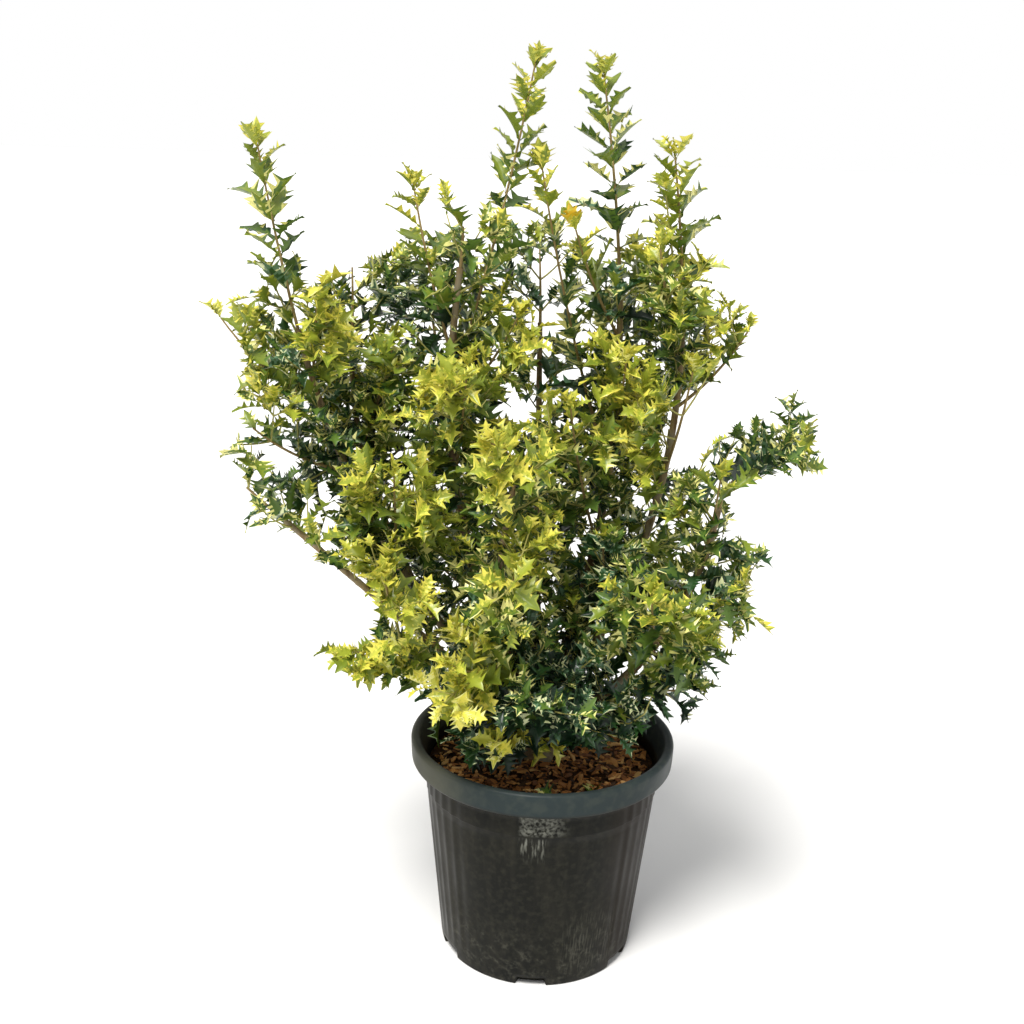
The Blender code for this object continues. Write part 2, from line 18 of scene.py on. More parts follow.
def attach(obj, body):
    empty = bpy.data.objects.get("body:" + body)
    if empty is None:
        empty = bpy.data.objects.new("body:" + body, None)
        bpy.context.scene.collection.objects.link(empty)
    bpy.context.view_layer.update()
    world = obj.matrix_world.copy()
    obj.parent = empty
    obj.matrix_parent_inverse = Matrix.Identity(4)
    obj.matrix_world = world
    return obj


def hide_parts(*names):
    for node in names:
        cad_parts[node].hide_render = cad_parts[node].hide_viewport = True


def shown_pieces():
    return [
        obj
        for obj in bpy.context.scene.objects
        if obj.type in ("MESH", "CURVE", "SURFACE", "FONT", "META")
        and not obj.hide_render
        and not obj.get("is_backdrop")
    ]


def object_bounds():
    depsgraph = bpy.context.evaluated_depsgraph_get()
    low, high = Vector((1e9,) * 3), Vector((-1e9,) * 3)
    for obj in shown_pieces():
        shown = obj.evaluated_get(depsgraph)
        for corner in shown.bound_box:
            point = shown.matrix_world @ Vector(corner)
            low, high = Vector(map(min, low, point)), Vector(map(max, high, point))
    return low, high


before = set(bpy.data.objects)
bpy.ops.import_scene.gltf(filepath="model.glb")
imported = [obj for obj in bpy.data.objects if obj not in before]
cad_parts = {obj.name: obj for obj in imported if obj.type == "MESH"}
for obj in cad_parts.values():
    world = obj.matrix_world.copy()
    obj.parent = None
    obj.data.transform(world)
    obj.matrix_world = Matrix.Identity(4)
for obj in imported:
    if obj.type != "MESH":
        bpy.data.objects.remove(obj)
cad_low, cad_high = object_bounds()
print("CAD box in metres:", [round(side, 3) for side in cad_high - cad_low])

# %% [markdown]
# ## The camera
# The photograph was taken from standing height, looking down at the pot. The pot's outline in the
# picture fixes where the camera stood: its tilt from the rim's ellipse, its distance from the rim's
# width. A small roll follows the pot's lean in the picture. A plain lens without blur is enough.

# %% Camera
CAMERA_PLACE = Vector((-0.0505, -1.611, 1.097))
CAMERA_TILT = math.radians(90.0 - 16.57)
CAMERA_ROLL = math.radians(1.75)
CAMERA_LENS = 45.7

camera = bpy.data.objects.new("camera", bpy.data.cameras.new("camera"))
bpy.context.scene.collection.objects.link(camera)
camera.data.lens = CAMERA_LENS
camera_turn = Matrix.Rotation(CAMERA_TILT, 4, "X") @ Matrix.Rotation(CAMERA_ROLL, 4, "Z")
camera.matrix_world = Matrix.Translation(CAMERA_PLACE) @ camera_turn
bpy.context.scene.camera = camera
print("Camera at", [round(place, 3) for place in CAMERA_PLACE])

# %% [markdown]
# ## Light and floor
# The plant was photographed in bright open shade and cut out on white. A broad sun lamp gives the
# glints on the leaves, a pale sky fills the shadows, and a pale floor takes the contact shadow. The
# picture's values are kept as they are by the Standard view transform, since a film-like one would
# grey the whites.

# %% Light and floor
SKY_FILL = 0.60
SKY_SEEN = 1.0
SUN_STRENGTH = 3.9
SUN_SOFTNESS = math.radians(22.0)
SUN_FROM = Vector((-0.40, -0.85, 1.75))
SUN_TINT = (1.0, 0.98, 0.94)
FLOOR_HALF = 40.0
FLOOR_SHADE = 0.86
FLOOR_ROUGHNESS = 0.9
FLOOR_SPECULAR = 0.1

scene = bpy.context.scene
scene.view_settings.view_transform = "Standard"


def make_world():
    """A white backdrop for the camera, and a softer fill for all else."""
    world = bpy.data.worlds.new("pale_sky")
    world.use_nodes = True
    tree = world.node_tree
    back = tree.nodes["Background"]
    back.inputs["Color"].default_value = (1.0, 1.0, 1.0, 1.0)
    path = tree.nodes.new("ShaderNodeLightPath")
    pick = tree.nodes.new("ShaderNodeMapRange")
    pick.inputs["To Min"].default_value = SKY_FILL
    pick.inputs["To Max"].default_value = SKY_SEEN
    tree.links.new(path.outputs["Is Camera Ray"], pick.inputs["Value"])
    tree.links.new(pick.outputs["Result"], back.inputs["Strength"])
    scene.world = world


def make_sun():
    """One broad lamp from the upper left, in front of the plant."""
    lamp = bpy.data.lights.new("sun", "SUN")
    lamp.energy = SUN_STRENGTH
    lamp.angle = SUN_SOFTNESS
    lamp.color = SUN_TINT
    sun = bpy.data.objects.new("sun", lamp)
    sun.rotation_euler = SUN_FROM.to_track_quat("Z", "Y").to_euler()
    scene.collection.objects.link(sun)


def make_floor():
    """A pale sheet that the pot stands on."""
    mesh = bpy.data.meshes.new("floor")
    half = FLOOR_HALF
    corners = [(-half, -half, 0), (half, -half, 0), (half, half, 0), (-half, half, 0)]
    mesh.from_pydata(corners, [], [(0, 1, 2, 3)])
    material = bpy.data.materials.new("pale_floor")
    material.use_nodes = True
    shader = material.node_tree.nodes["Principled BSDF"]
    shader.inputs["Base Color"].default_value = (FLOOR_SHADE,) * 3 + (1.0,)
    shader.inputs["Roughness"].default_value = FLOOR_ROUGHNESS
    shader.inputs["Specular IOR Level"].default_value = FLOOR_SPECULAR
    mesh.materials.append(material)
    floor = bpy.data.objects.new("floor", mesh)
    scene.collection.objects.link(floor)
    floor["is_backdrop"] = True


make_world()
make_sun()
make_floor()
print("Sun, sky and floor are in place")

# %% [markdown]
# ## Limbs and masses
# The plant's skeleton repeats the source's own tables: each limb says what carries it, where along
# it, its far end and the bow of its curve, and each mass of foliage its stem in the same way. With
# the same rule in both scripts the fine foliage grows exactly where the solids are.

# %% The plant's skeleton
FOOT_AT = Vector((-0.005, 0.010, 0.2703))
FORK_AT = Vector((-0.009, 0.013, 0.338))
TRUNK_RADIUS = 0.0150
FORK_RADIUS = 0.0115
# each limb's carrier, the place along it, far end, bow of the curve, and radii at foot and tip
LIMBS = {
    "left_stem": ("trunk", 0.60, (-0.318, -0.030, 0.850), (-0.080, -0.020, -0.040), 0.0072, 0.0036),
    "left_inner_stem": ("left_stem", 0.36, (-0.262, 0.045, 0.830), (-0.060, 0.020, 0.000),
                        0.0046, 0.0030),
    "centre_left_stem": ("trunk", 0.98, (-0.122, -0.020, 0.930), (-0.100, 0.000, -0.050),
                         0.0075, 0.0040),
    "right_centre_stem": ("trunk", 0.86, (0.075, 0.035, 0.920), (0.070, 0.040, -0.040), 0.0070, 0.0036),
    "right_stem": ("trunk", 0.66, (0.152, 0.000, 0.885), (0.100, -0.010, -0.030), 0.0070, 0.0036),
    "right_low_bough": ("trunk", 0.36, (0.203, -0.080, 0.655), (0.074, -0.050, -0.030), 0.0072, 0.0038),
    "left_low_bough": ("trunk", 0.40, (-0.335, -0.100, 0.635), (-0.010, -0.040, 0.030), 0.0062, 0.0032),
    "front_stem": ("trunk", 0.80, (-0.050, -0.120, 0.680), (-0.060, -0.060, -0.020), 0.0060, 0.0034),
    "back_left_stem": ("trunk", 0.74, (-0.160, 0.150, 0.800), (-0.050, 0.070, -0.050), 0.0062, 0.0034),
    "back_centre_stem": ("trunk", 0.92, (-0.020, 0.160, 0.840), (0.000, 0.090, -0.050), 0.0062, 0.0034),
    "back_right_stem": ("trunk", 0.50, (0.125, 0.150, 0.780), (0.050, 0.070, -0.060), 0.0062, 0.0034),
}
# each mass's carrier, the place along it, furthest tip, reach of its side twigs, and tone from
# shade at 0 to yellow at 1: a low tone deals out darker greens, partly the old leaves' own colour
# and partly painted shade, for masses inside, low in and at the back of the crown
MASSES = {
    "tall_left": ("left_stem", 1.00, (-0.368, -0.030, 1.096), 0.050, 0.60),
    "left_crest": ("left_stem", 0.90, (-0.285, -0.070, 0.940), 0.066, 0.78),
    "upper_left": ("left_stem", 0.84, (-0.430, -0.050, 0.885), 0.070, 0.76),
    "left_fan": ("left_stem", 0.70, (-0.395, -0.110, 0.765), 0.072, 0.52),
    "left_shoulder": ("left_stem", 0.48, (-0.190, -0.150, 0.720), 0.072, 0.70),
    "left_back": ("left_stem", 0.62, (-0.270, 0.130, 0.790), 0.072, 0.36),
    "left_inner_top": ("left_inner_stem", 1.00, (-0.262, 0.050, 0.960), 0.070, 0.58),
    "left_inner_side": ("left_inner_stem", 0.60, (-0.195, -0.020, 0.860), 0.070, 0.52),
    "centre_left_top": ("centre_left_stem", 1.00, (-0.122, -0.020, 1.045), 0.056, 0.68),
    "centre_left_crest": ("centre_left_stem", 0.84, (-0.187, -0.005, 1.050), 0.052, 0.66),
    "centre_right_shoot": ("centre_left_stem", 0.74, (-0.035, -0.060, 0.900), 0.066, 0.68),
    "centre_front": ("centre_left_stem", 0.60, (-0.105, -0.130, 0.850), 0.070, 0.66),
    "centre_back": ("centre_left_stem", 0.66, (-0.100, 0.120, 0.870), 0.070, 0.34),
    "tall_centre": ("centre_left_stem", 0.78, (-0.032, 0.030, 1.198), 0.050, 0.62),
    "tall_inner": ("right_centre_stem", 0.60, (-0.035, 0.000, 1.080), 0.052, 0.60),
    "tall_right": ("right_centre_stem", 1.00, (0.040, 0.035, 1.188), 0.050, 0.60),
    "golden_shoot": ("right_centre_stem", 0.88, (0.004, -0.010, 1.005), 0.040, 0.72),
    "right_centre_front": ("right_centre_stem", 0.70, (0.080, -0.100, 0.850), 0.070, 0.80),
    "right_centre_low": ("right_centre_stem", 0.44, (0.010, -0.100, 0.800), 0.070, 0.60),
    "right_centre_back": ("right_centre_stem", 0.58, (0.060, 0.200, 0.760), 0.070, 0.34),
    "right_top": ("right_stem", 1.00, (0.128, 0.000, 1.096), 0.052, 0.66),
    "right_top_front": ("right_stem", 0.88, (0.108, -0.060, 0.990), 0.056, 0.66),
    "right_shoulder": ("right_stem", 0.80, (0.250, -0.030, 0.890), 0.066, 0.70),
    "right_front": ("right_stem", 0.66, (0.160, -0.110, 0.850), 0.070, 0.72),
    "right_back": ("right_stem", 0.62, (0.175, 0.150, 0.790), 0.070, 0.38),
    "right_low": ("right_stem", 0.30, (0.060, -0.080, 0.630), 0.070, 0.36),
    "far_right": ("right_low_bough", 1.00, (0.348, -0.080, 0.750), 0.066, 0.40),
    "right_bough_top": ("right_low_bough", 0.86, (0.195, -0.140, 0.730), 0.070, 0.56),
    "right_bough_side": ("right_low_bough", 0.70, (0.290, -0.090, 0.570), 0.075, 0.52),
    "right_bough_front": ("right_low_bough", 0.52, (0.110, -0.215, 0.600), 0.075, 0.60),
    "right_rim": ("right_low_bough", 0.32, (0.222, -0.050, 0.400), 0.060, 0.24),
    "far_left": ("left_low_bough", 1.00, (-0.420, -0.100, 0.715), 0.066, 0.56),
    "left_low": ("left_low_bough", 0.44, (-0.275, -0.140, 0.470), 0.070, 0.74),
    "left_low_front": ("left_low_bough", 0.56, (-0.195, -0.210, 0.605), 0.075, 0.76),
    "front_top": ("front_stem", 1.00, (-0.085, -0.210, 0.775), 0.066, 0.84),
    "front_centre": ("front_stem", 0.62, (-0.040, -0.230, 0.625), 0.075, 0.68),
    "front_left": ("front_stem", 0.34, (-0.125, -0.235, 0.500), 0.075, 0.80),
    "front_low": ("front_stem", 0.16, (0.010, -0.225, 0.450), 0.070, 0.18),
    "rim_front": ("trunk", 0.84, (-0.100, -0.160, 0.350), 0.056, 0.14),
    "back_left_top": ("back_left_stem", 1.00, (-0.200, 0.200, 0.945), 0.075, 0.50),
    "back_left_low": ("back_left_stem", 0.34, (-0.210, 0.210, 0.530), 0.080, 0.44),
    "back_rim": ("back_left_stem", 0.14, (-0.080, 0.200, 0.410), 0.075, 0.34),
    "back_centre_top": ("back_centre_stem", 1.00, (-0.025, 0.210, 0.970), 0.075, 0.52),
    "back_centre_low": ("back_centre_stem", 0.40, (-0.030, 0.290, 0.600), 0.080, 0.46),
    "back_right_top": ("back_right_stem", 1.00, (0.150, 0.200, 0.925), 0.075, 0.50),
    "back_right_low": ("back_right_stem", 0.34, (0.180, 0.220, 0.520), 0.080, 0.44),
}
BARE_FOOT = 0.15           # leafless share of a mass's stem
STEM_SWEEP = 0.12
STEM_DIP = 0.10
TIP_RUN = 0.45
TIP_LEAF_PULL = 0.030      # the end leaves' part of a mass's reach
SEED = 11
print(len(LIMBS), "limbs carry", len(MASSES), "masses of foliage")

# %% [markdown]
# ## Their curves
# A limb is a bow through three points, which is enough for a stem that leaves the trunk flat and
# turns up to the light. A mass at a limb's tip runs straight on from it. Any other leaves its limb
# sideways, dips a little under its own weight and turns up.

# %% Curves of limbs and stems


def curve_point(curve, share):
    """A point on a bowed curve of start, control and end."""
    start, control, end = curve
    rest = 1.0 - share
    return start * (rest * rest) + control * (2.0 * rest * share) + end * (share * share)


def curve_heading(curve, share):
    """The direction in which the curve runs there."""
    start, control, end = curve
    return ((control - start) * (1.0 - share) + (end - control) * share).normalized()


def limb_curves():
    """The curve of the trunk and of each limb."""
    curves = {"trunk": (FOOT_AT, (FOOT_AT + FORK_AT) / 2.0, FORK_AT)}
    for name, (carrier, share, end, bow, _, _) in LIMBS.items():
        start = curve_point(curves[carrier], share)
        end = Vector(end)
        curves[name] = (start, (start + end) / 2.0 + Vector(bow), end)
    return curves


def mass_curves(limbs):
    """The stem of each mass. One at a limb's tip runs on from it, and others leave and turn up."""
    stems = {}
    for name, (carrier, share, tip, _, _) in MASSES.items():
        tip = Vector(tip)
        start = curve_point(limbs[carrier], share)
        end = tip - (tip - start).normalized() * TIP_LEAF_PULL
        if share == 1.0:
            control = start + curve_heading(limbs[carrier], 1.0) * (TIP_RUN * (end - start).length)
        else:
            level = Vector((end.x - start.x, end.y - start.y, 0.0))
            dip = Vector((0.0, 0.0, STEM_DIP * level.length))
            control = (start + end) / 2.0 + level * STEM_SWEEP - dip
        stems[name] = (start, control, end)
    return stems


limbs = limb_curves()
stems = mass_curves(limbs)
print("Curves:", len(limbs), "with the trunk's, and", len(stems), "stems of masses")

# %% [markdown]
# ## Making meshes from arrays
# Thousands of leaves would be slow as separate objects, so each kind is gathered in arrays of
# corners, faces and finishes and written as one joined mesh. The helper below does that for every
# piece, lets it ride on the body and hides the solids that it stands for.

# %% A helper for every piece


class Pile:
    """Corners, faces and finishes of many small shapes, gathered for one mesh."""

    def __init__(self):
        self.corners = []
        self.faces = []
        self.finishes = []
        self.count = 0

    def add(self, corners, faces, finishes):
        """Add one shape. Its faces count from its own first corner."""
        corners = np.asarray(corners, float)
        self.corners.append(corners)
        self.faces.append(np.asarray(faces, int) + self.count)
        self.finishes.append(np.asarray(finishes, int))
        self.count += len(corners)


def ring_faces(rings, sides):
    """Faces between rings of corners that follow one another."""
    faces = []
    for first in range(0, rings * sides, sides):
        for side in range(sides):
            after = (side + 1) % sides
            faces.append((first + side, first + after, first + sides + after, first + sides + side))
    return faces


def make_piece(name, pile, materials, stands_for, smooth=True):
    """Write a pile of four-cornered faces as one mesh that rides on the plant's body."""
    mesh = bpy.data.meshes.new(name)
    corners = np.concatenate(pile.corners)
    faces = np.concatenate(pile.faces)
    mesh.vertices.add(len(corners))
    mesh.vertices.foreach_set("co", corners.ravel())
    mesh.loops.add(faces.size)
    mesh.loops.foreach_set("vertex_index", faces.ravel())
    mesh.polygons.add(len(faces))
    mesh.polygons.foreach_set("loop_start", np.arange(len(faces)) * faces.shape[1])
    mesh.polygons.foreach_set("material_index", np.concatenate(pile.finishes))
    mesh.polygons.foreach_set("use_smooth", np.full(len(faces), smooth))
    for material in materials:
        mesh.materials.append(material)
    mesh.update(calc_edges=True)
    mesh.validate()
    piece = bpy.data.objects.new(name, mesh)
    scene.collection.objects.link(piece)
    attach(piece, "root")
    if stands_for:
        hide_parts(*stands_for)
    return piece


print("The helper for joined meshes is ready")

# %% [markdown]
# ## Shared effects
# Weathered surfaces share two effects. Mottle is a soft cloud of noise, as on bark, dust and leaf
# skin. Streaks is the same cloud drawn out along the height, as rain leaves it on a pot and growth
# leaves it on bark. Each is a node group with named inputs, built once and used with other values.

# %% Shader groups


def linear(code):
    """A colour given as a web code, in the linear values that a shader takes."""
    values = [int(code[i:i + 2], 16) / 255.0 for i in (0, 2, 4)]
    curved = [v / 12.92 if v <= 0.04045 else ((v + 0.055) / 1.055) ** 2.4 for v in values]
    return (*curved, 1.0)


def new_group(name, inputs, outputs):
    """An empty shader group with number inputs and outputs, and its two end nodes."""
    group = bpy.data.node_groups.new(name, "ShaderNodeTree")
    for label, value in inputs:
        socket = group.interface.new_socket(label, in_out="INPUT", socket_type="NodeSocketFloat")
        socket.default_value = value
    for label in outputs:
        group.interface.new_socket(label, in_out="OUTPUT", socket_type="NodeSocketFloat")
    return group, group.nodes.new("NodeGroupInput"), group.nodes.new("NodeGroupOutput")


def cloud_group(name, stretch):
    """Noise in the object's own space, squeezed between Low and High and drawn out along Z."""
    inputs = (("Scale", 20.0), ("Detail", 4.0), ("Low", 0.4), ("High", 0.6))
    group, given, gives = new_group(name, inputs, ("Mask", "Height"))
    place = group.nodes.new("ShaderNodeTexCoord")
    drawn = group.nodes.new("ShaderNodeMapping")
    drawn.inputs["Scale"].default_value = (1.0, 1.0, stretch)
    cloud = group.nodes.new("ShaderNodeTexNoise")
    squeeze = group.nodes.new("ShaderNodeMapRange")
    link = group.links.new
    link(place.outputs["Object"], drawn.inputs["Vector"])
    link(drawn.outputs["Vector"], cloud.inputs["Vector"])
    link(given.outputs["Scale"], cloud.inputs["Scale"])
    link(given.outputs["Detail"], cloud.inputs["Detail"])
    link(cloud.outputs["Fac"], squeeze.inputs["Value"])
    link(given.outputs["Low"], squeeze.inputs["From Min"])
    link(given.outputs["High"], squeeze.inputs["From Max"])
    link(squeeze.outputs["Result"], gives.inputs["Mask"])
    link(cloud.outputs["Fac"], gives.inputs["Height"])
    return group


MOTTLE = cloud_group("Mottle", 1.0)
STREAKS = cloud_group("Streaks", 0.08)
print("Groups:", MOTTLE.name, "and", STREAKS.name)

# %% [markdown]
# ## Building a material
# Every finish here is a Principled shader with noise in its roughness and bump, and on pot, bark
# and soil in its colour too. A leaf keeps a plain base colour, since its pattern lies in its faces.
# The small helpers below keep each finish to a few lines.

# %% Material helpers


def new_material(name, colour, roughness, specular=0.5):
    """A Principled material with plain values, to which noise is then linked."""
    material = bpy.data.materials.new(name)
    material.use_nodes = True
    shader = material.node_tree.nodes["Principled BSDF"]
    shader.inputs["Base Color"].default_value = linear(colour)
    shader.inputs["Roughness"].default_value = roughness
    shader.inputs["Specular IOR Level"].default_value = specular
    return material


def place_group(material, group, **values):
    """Put a shared effect into a material with this material's own values."""
    node = material.node_tree.nodes.new("ShaderNodeGroup")
    node.node_tree = group
    for label, value in values.items():
        node.inputs[label].default_value = value
    return node


def link_roughness(material, socket, low, high):
    """Roughness runs between two values with a mask."""
    tree = material.node_tree
    span = tree.nodes.new("ShaderNodeMapRange")
    span.inputs["To Min"].default_value = low
    span.inputs["To Max"].default_value = high
    tree.links.new(socket, span.inputs["Value"])
    tree.links.new(span.outputs["Result"], tree.nodes["Principled BSDF"].inputs["Roughness"])


def link_bump(material, socket, strength, distance):
    """A height feeds the shader's normal through a Bump node."""
    tree = material.node_tree
    bump = tree.nodes.new("ShaderNodeBump")
    bump.inputs["Strength"].default_value = strength
    bump.inputs["Distance"].default_value = distance
    tree.links.new(socket, bump.inputs["Height"])
    tree.links.new(bump.outputs["Normal"], tree.nodes["Principled BSDF"].inputs["Normal"])


def mix_colours(material, mask, first, second):
    """A colour between two others, by a mask. Each may be a web code or a socket."""
    tree = material.node_tree
    mix = tree.nodes.new("ShaderNodeMix")
    mix.data_type = "RGBA"
    tree.links.new(mask, mix.inputs["Factor"])
    for label, colour in (("A", first), ("B", second)):
        socket = next(s for s in mix.inputs if s.name == label and s.type == "RGBA")
        if isinstance(colour, str):
            socket.default_value = linear(colour)
        else:
            tree.links.new(colour, socket)
    return next(s for s in mix.outputs if s.type == "RGBA")


print("Material helpers are ready")

# %% [markdown]
# ## Leaf finishes
# A leaf of this shrub is green with grey-green marbling and cream margins, and young ones are
# yellow. Plain colours dealt out to each leaf's faces stay sharp in the export, where noise would
# blur. A dress is three of them: the blade's green, its marbling and its margin.

# %% Leaf colours
LEAF_COLOURS = {
    "deep_green": "152c1a",
    "dark_green": "25461d",
    "leaf_green": "55702a",
    "olive_green": "74842a",
    "fresh_green": "959f33",
    "lime": "b9ba46",
    "yellow": "d9d054",
    "golden": "dbb62c",
    "cream": "e2de88",
    "pale_cream": "cfd4a2",
    "grey_green": "567658",
    "dull_green": "3a5a36",
}
# each dress's least tone, blade, marbling and margin; the darkest dresses, of deep and dark green,
# are partly painted shade for leaves inside the crown and partly the old leaves' own darker green
DRESSES = (
    (-1.0, "deep_green", "dull_green", "grey_green"),
    (0.16, "deep_green", "dark_green", "pale_cream"),
    (0.30, "dark_green", "grey_green", "pale_cream"),
    (0.42, "leaf_green", "dark_green", "cream"),
    (0.54, "olive_green", "leaf_green", "cream"),
    (0.66, "olive_green", "fresh_green", "yellow"),
    (0.80, "fresh_green", "lime", "yellow"),
    (0.96, "lime", "fresh_green", "yellow"),
    (1.06, "yellow", "lime", "cream"),
    (1.35, "golden", "yellow", "golden"),
)
LEAF_ROUGHNESS = 0.40
LEAF_GLOSS = (0.28, 0.48)                  # roughness from the waxy to the dull spots
LEAF_MATERIALS = []
LEAF_PLACES = {}


def make_leaf_materials():
    """One glossy material for each colour, with a soft unevenness in its gloss and skin."""
    for name, code in LEAF_COLOURS.items():
        material = new_material(name, code, LEAF_ROUGHNESS)
        skin = place_group(material, MOTTLE, Scale=90.0, Detail=2.0, Low=0.35, High=0.65)
        link_roughness(material, skin.outputs["Mask"], *LEAF_GLOSS)
        link_bump(material, skin.outputs["Height"], 0.25, 0.002)
        LEAF_PLACES[name] = len(LEAF_MATERIALS)
        LEAF_MATERIALS.append(material)


make_leaf_materials()
print(len(LEAF_MATERIALS), "leaf finishes in", len(DRESSES), "dresses")

# %% [markdown]
# ## One leaf
# The real leaf is stiff and 35 to 60 mm long: a wedge at its stalk, two to four sharp spines a side
# with hollows between them, and a drawn-out tip. It is folded along its midrib and wavy at its edge.
# A grid follows that shape. Each spine takes three rows, its own and one to either side, and the
# columns run from the midrib to the margin. Each face also gets a score for how readily it turns
# cream: margins score high, and streaks run in from them. Turned and sized patterns make all leaves.

# %% Leaf patterns
COLUMNS = (0.0, 0.38, 0.74, 1.0)           # from the midrib to the margin
STALK = 0.10                               # stalk's part of the length
STALK_HALF = 0.012
SPINE_COUNTS = (2, 3, 3, 3, 4)             # on each side
SPINE_REACHES = (0.13, 0.20)
SPINE_SIZES = (0.75, 1.2)
SPINE_LEAN = 0.075                         # how far a spine's point leans to the tip
SPINE_HALF = 0.34                          # a spine's half breadth, in spacings
FIRST_SPINE = 1.1                          # its place, in spacings
LAST_GAP = 1.3                             # from the last spine to the tip, in spacings
HOLLOW = 0.86                              # width left between two spines
TIP_PLACE = 1.06
TIP_HALF = 0.002
WIDTHS = (0.36, 0.47)
WEDGE = 1.08                               # above 1 the blade widens later
FULLNESS = 0.85                            # below 1 the blade is fuller
LEAST_HALF = 0.003
FOLDS = (0.25, 0.75)                       # slope of a half blade up from the midrib
CURLS = (-0.05, 0.28)                      # drop of the tip
WAVES = (0.02, 0.08)
WAVE_STEP = 1.9                            # turn of the wave from row to row
SPINE_TWISTS = (-0.2, 0.3)                 # how far a spine points down or up
SCORE_EDGE = 0.42
EDGE_RISE = 1.6                            # how late the score rises to the margin
SCORE_STREAK = 0.34
SCORE_SPECK = 0.28
STALK_SCORE = 0.2                          # keeps the stalk green
LEAF_KINDS = 24


def blade_half(blade, width):
    """Half width of the blade, which widens from a wedge and ends in a drawn-out tip."""
    return 0.5 * width * math.sin(math.pi * min(1.0, blade) ** WEDGE) ** FULLNESS + LEAST_HALF


def leaf_rows(spines, width, dice):
    """Rows along a unit leaf: place, half width, and a spine's reach and lean."""
    rows = [(0.0, STALK_HALF, 0.0, 0.0), (STALK, STALK_HALF, 0.0, 0.0)]
    reach = dice.uniform(*SPINE_REACHES)
    spacing = 1.0 / (spines + LAST_GAP)
    for spine in range(spines):
        middle = spacing * (spine + FIRST_SPINE)
        size = reach * dice.uniform(*SPINE_SIZES)
        for blade in (middle - SPINE_HALF * spacing, middle, middle + SPINE_HALF * spacing):
            place = STALK + (1.0 - STALK) * blade
            if blade == middle:
                rows.append((place, blade_half(blade, width), size, SPINE_LEAN))
            else:
                rows.append((place, HOLLOW * blade_half(blade, width), 0.0, 0.0))
    rows.append((TIP_PLACE, TIP_HALF, 0.0, 0.0))
    return rows


def leaf_corners(rows, dice):
    """The grid of a unit leaf along +X with its upper side to +Z."""
    fold = dice.uniform(*FOLDS)
    curl = dice.uniform(*CURLS)
    wave = dice.uniform(*WAVES)
    corners = []
    for row, (along, half, spine, lean) in enumerate(rows):
        lift = wave * math.sin(WAVE_STEP * row + fold * 9.0)
        for column in [-c for c in reversed(COLUMNS[1:])] + list(COLUMNS):
            edge = 1.0 if abs(column) == 1.0 else 0.0
            out = abs(column) * half + edge * spine
            height = fold * out - curl * along * along + lift * column ** 3
            height += edge * spine * dice.uniform(*SPINE_TWISTS)
            corners.append((along + edge * lean, math.copysign(out, column), height))
    return np.array(corners)


def leaf_pattern(dice):
    """One leaf's corners, its faces and how near cream each face is."""
    rows = leaf_rows(dice.choice(SPINE_COUNTS), dice.uniform(*WIDTHS), dice)
    corners = leaf_corners(rows, dice)
    cells = 2 * (len(COLUMNS) - 1)
    faces, scores = [], []
    for row in range(len(rows) - 1):
        streaks = (dice.random(), dice.random())
        for cell in range(cells):
            first = row * (cells + 1) + cell
            faces.append((first, first + cells + 1, first + cells + 2, first + 1))
            edge = (cell - cells / 2 + 0.5) / (cells / 2)
            score = SCORE_EDGE * abs(edge) ** EDGE_RISE
            score += SCORE_STREAK * streaks[edge > 0.0] + SCORE_SPECK * dice.random()
            scores.append(score if row else STALK_SCORE)
    return corners, np.array(faces), np.array(scores)


leaf_dice = random.Random(SEED)
LEAF_PATTERNS = [leaf_pattern(leaf_dice) for _ in range(LEAF_KINDS)]
print(LEAF_KINDS, "leaf patterns of", min(len(p[1]) for p in LEAF_PATTERNS), "faces and more")

# %% [markdown]
# ## How a leaf stands
# The source grows each mass along one stem, with leaf pairs that cross and side twigs at every
# second pair. The same rule works here at the plant's true spacing. Each direction is set by a
# heading and a turn about it, and is then put a little off the rule by seeded chance, since no two
# pairs of a real plant are alike.

# %% Directions of leaves and twigs
LEAF_ANGLE = math.radians(56.0)
LEAF_OPENING = 1.1         # share of that angle at the foot of a stem or twig
SIDE_TWIG_ANGLE = math.radians(55.0)
UPTURN = 0.8               # how strongly a leaf's upper side seeks the sky
ANGLE_SPREAD = 0.20
ROLL_SPREAD = 0.4
SIZE_SPREAD = (0.85, 1.12)
TONE_SPREAD = 0.08


def side_of(heading, angle):
    """A direction square to the heading, turned about it by the angle."""
    across = heading.cross(Vector((0.0, 0.0, 1.0)))
    if across.length < 0.05:
        across = Vector((1.0, 0.0, 0.0)) - heading * heading.x
    across.normalize()
    return across * math.cos(angle) + heading.cross(across) * math.sin(angle)


def turned_way(heading, turn, angle):
    """A direction that leaves the heading by the angle, turned about it."""
    return heading * math.cos(angle) + side_of(heading, turn) * math.sin(angle)


def leaf_at(root, stem_way, turn, angle, length, tone, dice):
    """A leaf as root, heading, upper side, length and tone, a little off the rule."""
    heading = turned_way(stem_way, turn, angle + dice.uniform(-ANGLE_SPREAD, ANGLE_SPREAD))
    roll = side_of(stem_way, turn + math.pi / 2) * dice.uniform(-ROLL_SPREAD, ROLL_SPREAD)
    upper = stem_way + Vector((0.0, 0.0, UPTURN)) + roll
    size = length * dice.uniform(*SIZE_SPREAD)
    return root, heading, upper, size, tone + dice.uniform(-TONE_SPREAD, TONE_SPREAD)


print("A leaf leaves its stem at", round(math.degrees(LEAF_ANGLE)), "degrees, give or take")

# %% [markdown]
# ## Twigs
# A side twig bends up a little and carries crossing pairs and one end leaf. Its leaves get smaller
# and brighter to the tip, where the youngest are. A twig on a mass's stem forks once more at its
# second pair, which fills the mass as evenly as the real crown.

